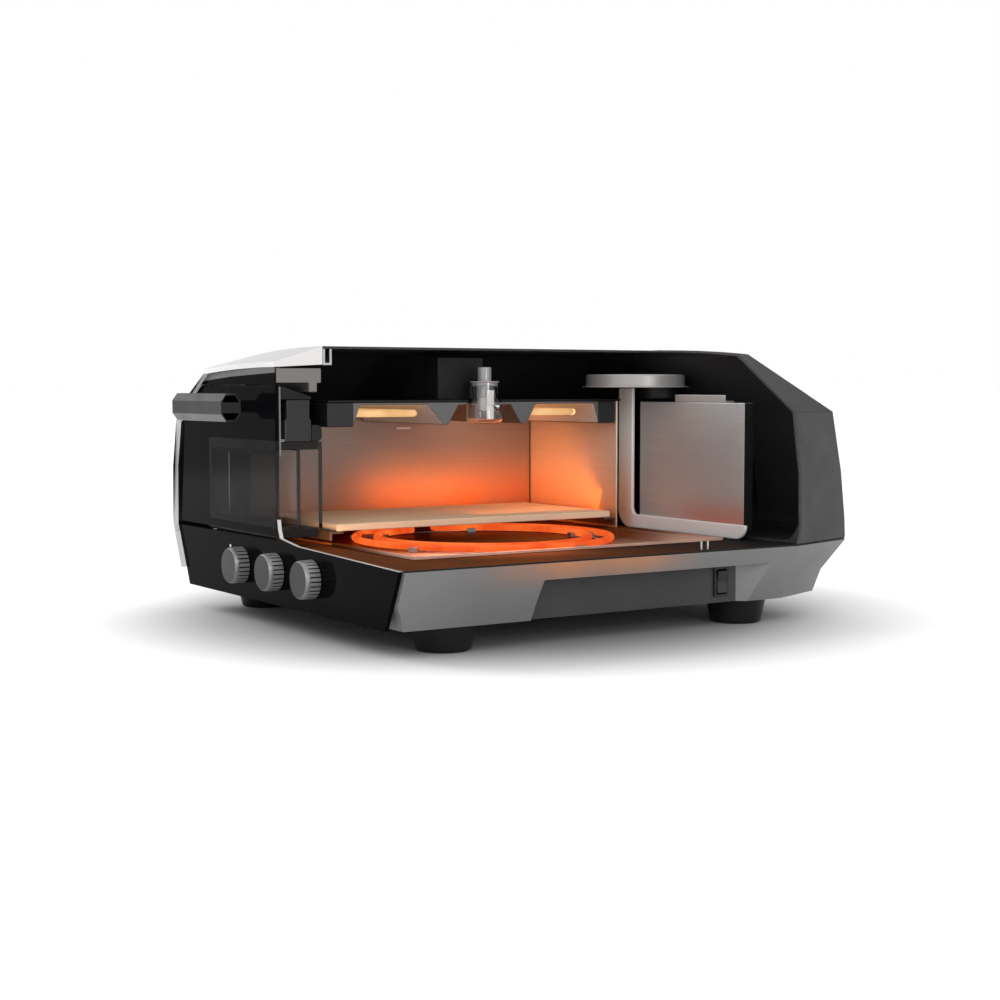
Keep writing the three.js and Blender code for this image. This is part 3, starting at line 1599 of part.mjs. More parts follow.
// Hinge: the pin turns with the door in a fixed bracket
const pinEnd = frameLeft - seatGap;
addSolid('hinge_pin', 'zinc', rod(
  'x', pinRadius, pinEnd - pinLength, pinEnd, [hingeDepth, hingeHeight], facets.small,
));

function hingeBracket() {
  const right = pinEnd - bracketSideGap;
  const left = right - bracketPlate;
  const nose = rod('x', bracketNose, left, right, [hingeDepth, hingeHeight], facets.medium);
  const arm = alongX(rectangle(
    hingeDepth, hingeDepth + bracketReach, hingeHeight - bracketNose, hingeHeight + bracketNose,
  ), left, right);
  const leg = alongX(rectangle(
    hingeDepth + bracketLegFront, hingeDepth + bracketReach, deckTop + seatGap, hingeHeight,
  ), left, right);
  const boreRadius = pinRadius + runningGap;
  const bore = rod('x', boreRadius, left - overrun, right + overrun, [hingeDepth, hingeHeight], facets.small);
  return cut(join(nose, arm, leg), bore);
}

addSolid('hinge_bracket', 'zinc', hingeBracket());

// Knobs, their shafts and the encoders behind them
function knobSolid() {
  const turnTo = (share, reach) => {
    const turn = (Math.PI * 2 * share) / knobRibs;
    return [reach * Math.cos(turn), reach * Math.sin(turn)];
  };
  const ribbed = (radius, depth) => Array.from({ length: knobRibs }, (_, i) => [
    turnTo(i, radius),
    turnTo(i + knobLandShare, radius),
    turnTo(i + knobLandShare + knobSlopeShare, radius - depth),
    turnTo(i + 1 - knobSlopeShare, radius - depth),
  ]).flat();
  const face = -knobProud;
  const back = -knobStandOff;
  const ringAt = (outline, y) => outline.map(([x, z]) => [x, y, z]);
  const ribsFront = face + (knobProud - knobStandOff) * knobRibFrontShare;
  const body = loft([
    ringAt(ribbed(knobRadius - knobEdge, 0), face),
    ringAt(ribbed(knobRadius - knobEdge / 4, 0), face + knobEdge),
    ringAt(ribbed(knobRadius, 0), ribsFront),
    ringAt(ribbed(knobRadius, knobRibDepth), ribsFront + knobEdge / 2),
    ringAt(ribbed(knobRadius, knobRibDepth), back),
  ].reverse());
  const shaftEnd = tubFront + tubWall + encoderBoreDepth;
  const shaft = rod('y', shaftRadius, back - knobEdge, shaftEnd, [0, 0], facets.small);
  return join(body, shaft);
}

const knobNames = { knob_left: -knobSpacing, knob_middle: 0, knob_right: knobSpacing };
const knobGeometry = geometryOf(knobSolid());
for (const [name, x] of Object.entries(knobNames)) {
  addPart(name, 'knob_grey', knobGeometry.clone(), [x, 0, knobHeight]);
}

function encoderSolid() {
  const front = tubFront + tubWall + seatGap;
  const half = encoderSize / 2;
  const body = block(-half, half, front, front + encoderDepth, -half, half);
  const boreEnd = front + encoderBoreDepth;
  const bore = rod('y', shaftRadius + runningGap, front - overrun, boreEnd, [0, 0], facets.small);
  return cut(body, bore);
}

const encoderBack = tubFront + tubWall + seatGap + encoderDepth;
const encoderBoard = block(
  -knobSpacing - encoderSize,
  knobSpacing + encoderSize,
  encoderBack - boardThick / 4,
  encoderBack + boardThick,
  knobHeight - encoderSize * encoderBoardShare,
  knobHeight + encoderSize * encoderBoardShare,
);
const encoderPlaces = Object.values(knobNames).map((x) => [x, 0, knobHeight]);
addSolid('encoder_board', 'dark_plastic', join(
  encoderBoard,
  ...encoderPlaces.map((place) => encoderSolid().translate(place)),
));

addSolid('status_light', 'white_light', rod(
  'y', lampDotRadius, -lampDotProud, tubFront + tubWall, [lampDotX, lampDotHeight], facets.small,
));

// Power switch in the hand recess
function switchHousing() {
  const face = recessInnerX + seatGap;
  const y0 = switchDepth - switchHalfWidth;
  const y1 = switchDepth + switchHalfWidth;
  const z0 = switchHeight - switchHalfTall;
  const z1 = switchHeight + switchHalfTall;
  const flange = block(face, face + switchFlange, y0, y1, z0, z1);
  const body = block(
    face - switchBody,
    face + switchFlange / 2,
    y0 + switchFlangeWidth,
    y1 - switchFlangeWidth,
    z0 + switchFlangeWidth,
    z1 - switchFlangeWidth,
  );
  const pocket = block(
    face + switchFlange - rockerThick - rockerRise * 2,
    face + overrun,
    switchDepth - rockerHalfWidth - seatGap,
    switchDepth + rockerHalfWidth + seatGap,
    switchHeight - rockerHalfTall - rockerPocketGap,
    switchHeight + rockerHalfTall + rockerPocketGap,
  );
  return cut(join(flange, body), pocket);
}

const rockerPivotX = recessInnerX + seatGap + switchFlange - rockerPivotSink;

function rockerSolid() {
  const tall = rockerHalfTall;
  const lift = rockerPivotSink;
  const outline = [
    [-rockerThick / 2, -tall + rockerPocketGap],
    [-rockerThick / 2, tall - rockerPocketGap],
    [lift, tall],
    [lift + rockerRise, tall * rockerTipShare],
    [lift + rockerRise / 4, 0],
    [lift + rockerRise / 2, -tall * rockerTipShare],
    [lift, -tall],
  ].reverse();
  return alongY(outline, -rockerHalfWidth, rockerHalfWidth);
}

addSolid('switch_housing', 'dark_plastic', switchHousing());
addSolid('rocker_switch', 'gloss_black', rockerSolid(), [rockerPivotX, switchDepth, switchHeight]);

// Power inlet
function powerInlet() {
  const y0 = inletFace - inletDepth;
  const outline = (grow) => {
    const w = inletHalfWidth - grow;
    const t = inletHalfTall - grow;
    return [
      [-w, -t],
      [w, -t],
      [w, t - inletCorner],
      [w - inletCorner, t],
      [-w + inletCorner, t],
      [-w, t - inletCorner],
    ].map(([x, z]) => [x + inletX, z + inletHeight]);
  };
  const body = alongY(outline(0), y0, inletFace);
  const pocket = alongY(outline(inletWall), inletFace - inletPocket, inletFace + overrun);
  let socket = cut(body, pocket);
  const pins = [[-inletPinSpread, -inletPinDrop], [0, inletPinDrop], [inletPinSpread, -inletPinDrop]];
  for (const [x, z] of pins) {
    socket = join(socket, block(
      inletX + x - inletPin / 2,
      inletX + x + inletPin / 2,
      inletFace - inletPocket - inletWall / 2,
      inletFace - inletPocket + inletPinLength,
      inletHeight + z - inletPin,
      inletHeight + z + inletPin,
    ));
  }
  return socket;
}

addSolid('power_inlet', 'dark_plastic', powerInlet());

// Control board on its stand-offs
function controlBoard() {
  const low = floorClearance + tubWall + standOff + seatGap;
  const rear = boardFront + boardDepth;
  let board = block(-boardHalfWidth, boardHalfWidth, boardFront, rear, low, low + boardThick);
  for (let i = 0; i < relayCount; i += 1) {
    const x = (i - (relayCount - 1) / 2) * relayPitch;
    const y = boardFront + boardDepth / 2;
    const half = relaySize / 2;
    board = join(board, block(x - half, x + half, y - half, y + half, low + boardThick / 2, low + relayTall));
  }
  return board;
}

addSolid('control_board', 'board', controlBoard());

// Centre the model between its handle and its rear
const handleFront = handleDepth - handleHalfDeep;
model.position.set(0, -(rearDepth + handleFront) / 2, 0);
const root = new THREE.Group();
root.add(model);

export default root;
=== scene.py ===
"""Looks, studio and camera for the cutaway pizza oven.

Metres throughout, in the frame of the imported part: +X right, +Y to the rear, +Z up.
"""

import json
import logging
import math
from collections.abc import Callable
from dataclasses import dataclass, replace
from enum import Enum

import bmesh
import bpy
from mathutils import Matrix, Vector


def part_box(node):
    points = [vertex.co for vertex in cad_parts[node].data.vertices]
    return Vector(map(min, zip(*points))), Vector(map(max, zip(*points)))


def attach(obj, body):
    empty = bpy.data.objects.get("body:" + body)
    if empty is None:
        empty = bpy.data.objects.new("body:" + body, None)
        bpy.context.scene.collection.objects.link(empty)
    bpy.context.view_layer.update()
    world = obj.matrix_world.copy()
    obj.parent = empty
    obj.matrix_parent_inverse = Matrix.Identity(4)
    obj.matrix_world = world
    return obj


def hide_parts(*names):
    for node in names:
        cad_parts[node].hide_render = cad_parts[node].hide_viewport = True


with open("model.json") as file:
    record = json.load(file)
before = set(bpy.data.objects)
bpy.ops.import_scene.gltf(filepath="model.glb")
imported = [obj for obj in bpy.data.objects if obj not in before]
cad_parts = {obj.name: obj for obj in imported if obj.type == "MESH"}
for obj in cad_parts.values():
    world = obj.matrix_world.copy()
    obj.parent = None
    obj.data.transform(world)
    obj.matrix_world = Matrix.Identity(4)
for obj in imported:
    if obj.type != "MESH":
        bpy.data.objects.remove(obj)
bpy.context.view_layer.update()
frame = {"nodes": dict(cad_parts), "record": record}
LOG = logging.getLogger("oven")

Pair = tuple[float, float]
Triple = tuple[float, float, float]
Colour = Triple
Chooser = Callable[[Vector, Vector], bool]
Form = bmesh.types.BMesh
Material = bpy.types.Material
Node = bpy.types.Node
Outputs = bpy.types.NodeOutputs
Piece = bpy.types.Object
Socket = bpy.types.NodeSocket
Tree = bpy.types.NodeTree

RIGHT: Triple = (1.0, 0.0, 0.0)
REAR: Triple = (0.0, 1.0, 0.0)
UP: Triple = (0.0, 0.0, 1.0)

# A face looks along an axis when its normal has more than this share of it.
LEANING, TURNED, FACING, SQUARE = 0.3, 0.5, 0.7, 0.8

# Rounding a form: what counts as one point, one plane and a sharp edge, and facets per edge.
WELD = 0.000002
FLAT_ANGLE = math.radians(0.5)
SHARP_ANGLE = math.radians(34.0)
EDGE_STEPS = 2
EVEN_WEIGHT = 100
CUT_MARGIN = 1e-7
ROD_SIDES = 12


def grey(level: float) -> Colour:
    """Returns a neutral colour."""
    return (level, level, level)


def shade(colour: Colour, share: float) -> Colour:
    """Scales a colour's brightness and keeps it under 1."""
    return tuple(min(part * share, 1.0) for part in colour)


class Graph:
    """A node tree with short calls for adding and joining nodes."""

    MIX_SHARE, MIX_LOW, MIX_HIGH, MIX_RESULT = 0, 6, 7, 2

    def __init__(self, tree: Tree) -> None:
        """Starts on a tree, which it empties."""
        self.tree = tree
        tree.nodes.clear()

    def fill(self, node: Node, inputs: dict) -> None:
        """Gives a node's inputs what they take.

        Args:
            node: the node.
            inputs: a socket or a plain value by input name or number.
        """
        for key, value in inputs.items():
            if isinstance(value, Socket):
                self.tree.links.new(value, node.inputs[key])
            else:
                node.inputs[key].default_value = value

    def add(self, kind: str, inputs: dict | None = None, **settings: object) -> Node:
        """Adds one node.

        Args:
            kind: the node's type without its ShaderNode prefix, or a whole type name.
            inputs: a socket or a plain value by input name or number.
            settings: properties of the node itself.

        Returns:
            The new node.
        """
        node = self.tree.nodes.new(kind if kind.startswith("Node") else "ShaderNode" + kind)
        for key, value in settings.items():
            setattr(node, key, value)
        self.fill(node, inputs or {})
        return node

    def maths(self, operation: str, *operands: object) -> Socket:
        """Adds a Math node; each operand is a number or a socket."""
        return self.add("Math", dict(enumerate(operands)), operation=operation).outputs[0]

    def product(self, *factors: object) -> Socket:
        """Multiplies numbers or sockets together.

        Args:
            factors: two or more of them.

        Returns:
            Their product.
        """
        result = factors[0]
        for factor in factors[1:]:
            result = self.maths("MULTIPLY", result, factor)
        return result

    def remap(
        self, value: Socket, span: tuple, onto: tuple = (0.0, 1.0), kind: str = "LINEAR"
    ) -> Socket:
        """Maps a value from one span onto another and holds it at the ends."""
        inputs = dict(enumerate((value, *span, *onto)))
        return self.add("MapRange", inputs, interpolation_type=kind).outputs[0]

    def place(self) -> Socket:
        """Returns the point of the surface in the object's own frame."""
        return self.add("TexCoord").outputs["Object"]

    def cloud(
        self, scale: object, detail: float, place: Socket | None = None, **values: float
    ) -> Socket:
        """Adds a noise, read at the point of the surface or at another place, from 0 to 1."""
        inputs = {"Vector": place or self.place(), "Scale": scale, "Detail": detail, **values}
        return self.add("TexNoise", inputs).outputs[0]

    def blend(self, share: object, low: object, high: object) -> Socket:
        """Mixes two colours, each given as three numbers or a socket.

        Args:
            share: how much of the second colour there is.
            low: first colour.
            high: second colour.

        Returns:
            The mixed colour.
        """
        inputs = {self.MIX_SHARE: share}
        for slot, colour in ((self.MIX_LOW, low), (self.MIX_HIGH, high)):
            inputs[slot] = colour if isinstance(colour, Socket) else (*colour, 1.0)
        return self.add("Mix", inputs, data_type="RGBA").outputs[self.MIX_RESULT]

    def vary(self, share: Socket, colour: Colour, low: float, high: float) -> Socket:
        """Varies a colour's brightness between two factors."""
        return self.blend(share, shade(colour, low), shade(colour, high))

    def bump(self, height: Socket, strength: float, depth: float) -> Socket:
        """Adds a Bump node for a relief of some depth in metres."""
        inputs = {"Height": height, "Strength": strength, "Distance": depth}
        return self.add("Bump", inputs).outputs[0]

    def looked_at(self) -> Socket:
        """Tells what is looked at, directly or in gloss or glass, from what only gives light.

        Returns:
            A number, 1 where it is looked at.
        """
        rays = self.add("LightPath").outputs
        seen = self.maths("MAXIMUM", rays["Is Camera Ray"], rays["Is Glossy Ray"])
        return self.maths("MAXIMUM", seen, rays["Is Transmission Ray"])


class Effect(Enum):
    """The surface effects that several finishes share."""

    GRAIN = "fine_grain"
    BRUSHING = "brushing"
    SMUDGES = "smudges"
    EDGE_WEAR = "edge_wear"
    DUST = "dust"
    # the painted glow of the heaters
    PAINTED_GLOW = "painted_heater_glow"


class EffectShelf:
    """Builds each shared effect once, as a shader node group."""

    def __init__(self) -> None:
        """Starts with nothing built."""
        self.built: dict[Effect, Tree] = {}
        relief = {Effect.GRAIN: self.make_grain, Effect.BRUSHING: self.make_brushing}
        marks = {Effect.SMUDGES: self.make_smudges, Effect.EDGE_WEAR: self.make_edge_wear}
        films = {Effect.DUST: self.make_dust, Effect.PAINTED_GLOW: self.make_painted_glow}
        self.makers = relief | marks | films

    def place(self, graph: Graph, effect: Effect, **values: object) -> Outputs:
        """Puts an effect into a material, and builds its group at its first use.

        Args:
            graph: the material's graph.
            effect: which effect.
            values: the group's inputs by name.

        Returns:
            The group's outputs.
        """
        if effect not in self.built:
            self.built[effect] = self.makers[effect]()
        return graph.add("Group", values, node_tree=self.built[effect]).outputs

    @staticmethod
    def start(effect: Effect, *numbers: str, vector: str = "") -> tuple[Graph, Outputs]:
        """Makes a group with its inputs.

        Args:
            effect: names the group.
            numbers: names of the inputs that are numbers.
            vector: name of the one that is a vector, if any.

        Returns:
            The group's graph, and its inputs as sockets to read from.
        """
        tree = bpy.data.node_groups.new(effect.value, "ShaderNodeTree")
        for name in (*numbers, vector) if vector else numbers:
            kind = "NodeSocketVector" if name == vector else "NodeSocketFloat"
            tree.interface.new_socket(name, in_out="INPUT", socket_type=kind)
        graph = Graph(tree)
        return graph, graph.add("NodeGroupInput").outputs

    @staticmethod
    def end(graph: Graph, **outputs: Socket) -> Tree:
        """Gives a group its outputs, which are all numbers.

        Args:
            graph: the group's graph.
            outputs: the socket behind each output by name.

        Returns:
            The finished group.
        """
        for name in outputs:
            graph.tree.interface.new_socket(name, in_out="OUTPUT", socket_type="NodeSocketFloat")
        graph.add("NodeGroupOutput", outputs)
        return graph.tree

    def make_grain(self) -> Tree:
        """Makes fine random relief, for paint, plastic, rubber and stone.

        Returns:
            A group with the relief, a slow change of tone and a mask of specks.
        """
        graph, given = self.start(Effect.GRAIN, "Scale")
        cell_share, speck_rim = 0.45, (0.12, 0.3)
        fine = graph.cloud(given["Scale"], detail=2.0, Roughness=0.6)
        slow = graph.cloud(scale=22.0, detail=4.0, Roughness=0.55)
        cell_scale = graph.product(given["Scale"], cell_share)
        cells = graph.add("TexVoronoi", {"Vector": graph.place(), "Scale": cell_scale})
        speck = graph.remap(cells.outputs["Distance"], speck_rim, (1.0, 0.0))
        return self.end(graph, Height=fine, Tone=slow, Speck=speck)

    def make_brushing(self) -> Tree:
        """Makes long fine scratches along one direction, for brushed sheet.

        Returns:
            A group with their height, a change of tone and a roughness.
        """
        graph, given = self.start(Effect.BRUSHING, "Low", "High", vector="Stretch")
        line_share, slow_share, rough_span = 0.7, 0.3, (0.3, 0.7)
        stretched = {0: graph.place(), 1: given["Stretch"]}
        spread = graph.add("VectorMath", stretched, operation="MULTIPLY").outputs[0]
        lines = graph.cloud(scale=1.0, detail=6.0, place=spread, Roughness=0.7)
        slow = graph.cloud(scale=9.0, detail=3.0)
        tone = graph.maths("MULTIPLY_ADD", lines, line_share, graph.product(slow, slow_share))
        rough = graph.remap(tone, rough_span, (given["Low"], given["High"]))
        return self.end(graph, Height=lines, Tone=tone, Roughness=rough)

    def make_smudges(self) -> Tree:
        """Makes a slow, patchy change of roughness, as hands and cloths leave.

        Returns:
            A group with the roughness.
        """
        graph, given = self.start(Effect.SMUDGES, "Scale", "Low", "High")
        patch_span = (0.35, 0.68)
        cloud = graph.cloud(given["Scale"], detail=5.0, Roughness=0.62, Distortion=0.6)
        rough = graph.remap(cloud, patch_span, (given["Low"], given["High"]))
        return self.end(graph, Roughness=rough)

    def make_edge_wear(self) -> Tree:
        """Makes a broken mask along the outer edges of a piece.

        Returns:
            A group with the mask.
        """
        graph, given = self.start(Effect.EDGE_WEAR, "Radius", "Amount")
        edge_span, break_span = (0.995, 0.9), (0.42, 0.62)
        rounded = graph.add("Bevel", {"Radius": given["Radius"]}, samples=4)
        normals = {0: rounded.outputs[0], 1: graph.add("NewGeometry").outputs["Normal"]}
        likeness = graph.add("VectorMath", normals, operation="DOT_PRODUCT").outputs["Value"]
        edge = graph.remap(likeness, edge_span)
        broken = graph.remap(graph.cloud(scale=160.0, detail=4.0), break_span)
        return self.end(graph, Mask=graph.product(edge, broken, given["Amount"]))

    def make_dust(self) -> Tree:
        """Makes a thin, uneven film on faces that look up.

        Returns:
            A group with the film's mask.
        """
        graph, given = self.start(Effect.DUST, "Amount")
        normal = graph.add("SeparateXYZ", {0: graph.add("NewGeometry").outputs["Normal"]})
        upward = graph.remap(normal.outputs["Z"], (LEANING, 1.0))
        cloud = graph.cloud(scale=45.0, detail=6.0, Roughness=0.7)
        return self.end(graph, Mask=graph.product(upward, cloud, given["Amount"]))

    def make_painted_glow(self) -> Tree:
        """Makes the cloudy mask of a painted heater glow, which grows with height and fades away
        from its middle.

        Returns:
            A group with the mask.
        """
        numbers = ("From", "To", "Middle", "Reach", "Amount")
        graph, given = self.start(Effect.PAINTED_GLOW, *numbers, vector="Across")
        cloud_span, cloud_low = (0.3, 0.65), 0.55
        place = graph.place()
        height = graph.add("SeparateXYZ", {0: place}).outputs["Z"]
        rise = graph.remap(height, (given["From"], given["To"]), kind="SMOOTHSTEP")
        across = graph.add("VectorMath", {0: place, 1: given["Across"]}, operation="DOT_PRODUCT")
        offset = graph.maths("SUBTRACT", across.outputs["Value"], given["Middle"])
        away = graph.maths("ABSOLUTE", offset)
        near = graph.remap(away, (given["Reach"], 0.0), kind="SMOOTHSTEP")
        uneven = graph.remap(graph.cloud(scale=16.0, detail=4.0), cloud_span, (cloud_low, 1.0))
        return self.end(graph, Mask=graph.product(rise, near, uneven, given["Amount"]))


SHELF = EffectShelf()


def new_material(name: str) -> tuple[Material, Graph, Node]:
    """Starts a node material with one Principled shader.

    Args:
        name: the material's name.

    Returns:
        The material, its graph and its shader node.
    """
    material = bpy.data.materials.new(name)
    material.use_nodes = True
    graph = Graph(material.node_tree)
    shader = graph.add("BsdfPrincipled")
    graph.add("OutputMaterial", {"Surface": shader.outputs[0]})
    return material, graph, shader


@dataclass(frozen=True)
class PaintedGlow:
    """Orange light of the heaters, painted into a surface's colour as a painted glow.

    It grows from the first height to the second, up to an amount, and fades out at a reach from
    its middle, measured across.
    """

    colour: Colour
    heights: Pair
    amount: float
    reach: float = 9.0
    middle: float = 0.0
    across: Triple = REAR

    def over(self, graph: Graph, colour: Socket) -> Socket:
        """Lays the painted glow over a colour.

        Args:
            graph: the material's graph.
            colour: the colour under it.

        Returns:
            The colour with the painted glow on it.
        """
        values = {"From": self.heights[0], "To": self.heights[1], "Across": self.across}
        values |= {"Middle": self.middle, "Reach": self.reach, "Amount": self.amount}
        return graph.blend(SHELF.place(graph, Effect.PAINTED_GLOW, **values)["Mask"], colour, self.colour)


# How fine a grain is, and its depth in metres.
POWDER: Pair = (1300, 0.00006)
LACQUER: Pair = (500, 0.000002)
SHEET: Pair = (1600, 0.00002)
MOULDED: Pair = (1500, 0.00003)
CAST: Pair = (1100, 0.00005)
MACHINED: Pair = (1900, 0.00002)

# How fine brushed lines are along each axis.
FINE_LINES: Triple = (12.0, 700.0, 700.0)
LEVEL_LINES: Triple = (14.0, 10.0, 900.0)
DEPTH_LINES: Triple = (1800.0, 50.0, 1800.0)


@dataclass(frozen=True)
class Coated:
    """A painted, moulded, cast or rubber surface.

    Tone, speck, wear, dust and smudge say how much the surface varies.
    """

    name: str
    colour: Colour
    roughness: float
    grain: Pair = MOULDED
    metallic: float = 0.0
    ior: float = 1.45
    tone: float = 0.1
    speck: float = 0.0
    wear: float = 0.0
    dust: float = 0.0
    smudge: float = 0.08
    # painted heater glow laid over the colour, if any
    painted_glow: PaintedGlow | None = None

    SPECK_GAIN = 1.8
    WEAR_RADIUS = 0.0009
    WORN = grey(0.5)
    DUSTY = (0.45, 0.44, 0.42)
    SMUDGE_SCALE = 14.0
    SMOOTHEST = 0.02
    RELIEF = 0.6

    def build(self) -> Material:
        """Makes the material.

        Returns:
            The material.
        """
        material, graph, shader = new_material(self.name)
        fineness, depth = self.grain
        grain = SHELF.place(graph, Effect.GRAIN, Scale=fineness)
        colour = graph.vary(grain["Tone"], self.colour, 1 - self.tone, 1 + self.tone)
        if self.speck:
            share = graph.product(grain["Speck"], self.speck)
            colour = graph.blend(share, colour, shade(self.colour, self.SPECK_GAIN))
        if self.wear:
            wear = SHELF.place(graph, Effect.EDGE_WEAR, Radius=self.WEAR_RADIUS, Amount=self.wear)
            colour = graph.blend(wear["Mask"], colour, self.WORN)
        if self.dust:
            dust = SHELF.place(graph, Effect.DUST, Amount=self.dust)
            colour = graph.blend(dust["Mask"], colour, self.DUSTY)
        if self.painted_glow:
            colour = self.painted_glow.over(graph, colour)
        low = max(self.roughness - self.smudge, self.SMOOTHEST)
        high = min(self.roughness + self.smudge, 1.0)
        smudges = SHELF.place(graph, Effect.SMUDGES, Scale=self.SMUDGE_SCALE, Low=low, High=high)
        values = {"Base Color": colour, "Metallic": self.metallic, "IOR": self.ior}
        values["Roughness"] = smudges["Roughness"]
        values["Normal"] = graph.bump(grain["Height"], self.RELIEF, depth)
        graph.fill(shader, values)
        return material


@dataclass(frozen=True)
class Brushed:
    """A brushed or rolled metal sheet, with its scratches along one axis.

    Roughness is its least and its most, and depth is the scratches' depth.
    """

    name: str
    colour: Colour
    roughness: Pair
    lines: Triple = FINE_LINES
    depth: float = 0.00002
    tone: float = 0.14
    metallic: float = 1.0
    ior: float = 1.45
    # painted heater glow laid over the colour, if any
    painted_glow: PaintedGlow | None = None

    RELIEF = 0.5

    def build(self) -> Material:
        """Makes the material.

        Returns:
            The material.
        """
        material, graph, shader = new_material(self.name)
        low, high = self.roughness
        lines = SHELF.place(graph, Effect.BRUSHING, Stretch=self.lines, Low=low, High=high)
        colour = graph.vary(lines["Tone"], self.colour, 1 - self.tone, 1 + self.tone)
        if self.painted_glow:
            colour = self.painted_glow.over(graph, colour)
        values = {"Base Color": colour, "Metallic": self.metallic, "IOR": self.ior}
        values["Roughness"] = lines["Roughness"]
        values["Normal"] = graph.bump(lines["Height"], self.RELIEF, self.depth)
        graph.fill(shader, values)
        return material


@dataclass(frozen=True)
class Glazed:
    """Glass, clear or tinted, with faint smears."""

    name: str
    colour: Colour
    ior: float = 1.45

    CLOUD_SCALE = 60.0
    DIMMEST = 0.96
    SMEAR_SCALE = 20.0
    SMEARS = (0.02, 0.07)

    def build(self) -> Material:
        """Makes the material.

        Returns:
            The material.
        """
        material, graph, shader = new_material(self.name)
        tone = SHELF.place(graph, Effect.GRAIN, Scale=self.CLOUD_SCALE)["Tone"]
        low, high = self.SMEARS
        smears = SHELF.place(graph, Effect.SMUDGES, Scale=self.SMEAR_SCALE, Low=low, High=high)
        values = {"Base Color": graph.vary(tone, self.colour, self.DIMMEST, 1.0)}
        values |= {"Roughness": smears["Roughness"], "Metallic": 0.0, "IOR": self.ior}
        graph.fill(shader, values | {"Transmission Weight": 1.0})
        return material


@dataclass(frozen=True)
class Glowing:
    """A heater sheath hot enough to shine, in patches from a cooler to a hotter colour."""

    name: str
    colour: Colour
    cool: Colour
    hot: Colour
    strength: float

    SCALE = 900.0
    DIMMEST = 0.7
    PATCH_SPAN = (0.35, 0.65)

    def build(self) -> Material:
        """Makes the material.

        Returns:
            The material.
        """
        material, graph, shader = new_material(self.name)
        tone = SHELF.place(graph, Effect.GRAIN, Scale=self.SCALE)["Tone"]
        shine = graph.blend(graph.remap(tone, self.PATCH_SPAN), self.cool, self.hot)
        values = {"Base Color": graph.vary(tone, self.colour, self.DIMMEST, 1.0)}
        values |= {"Emission Color": shine, "Emission Strength": self.strength}
        graph.fill(shader, values | {"Roughness": 0.6, "IOR": 1.1})
        return material


BASE_COAT = Coated(
    "base_powder_coat", (0.24, 0.238, 0.24), 0.42, POWDER, 0.3, tone=0.12, speck=0.06, wear=0.3
)
LACQUER_BLACK = Coated(
    "gloss_black_strip", (0.004, 0.004, 0.005), 0.06, LACQUER, ior=1.055, smudge=0.04
)
SHEET_COAT = Coated("channel_coat", grey(0.19), 0.4, SHEET, 0.3, tone=0.08, wear=0.2)
# the dials' sides, painted lighter than their faces as painted light
ANODISED = Coated("dial_side_painted_light", (0.36, 0.355, 0.356), 0.4, MACHINED, 0.3, tone=0.08, wear=0.3)
DARK_SATIN = replace(ANODISED, roughness=0.5, metallic=0.1, ior=1.25)


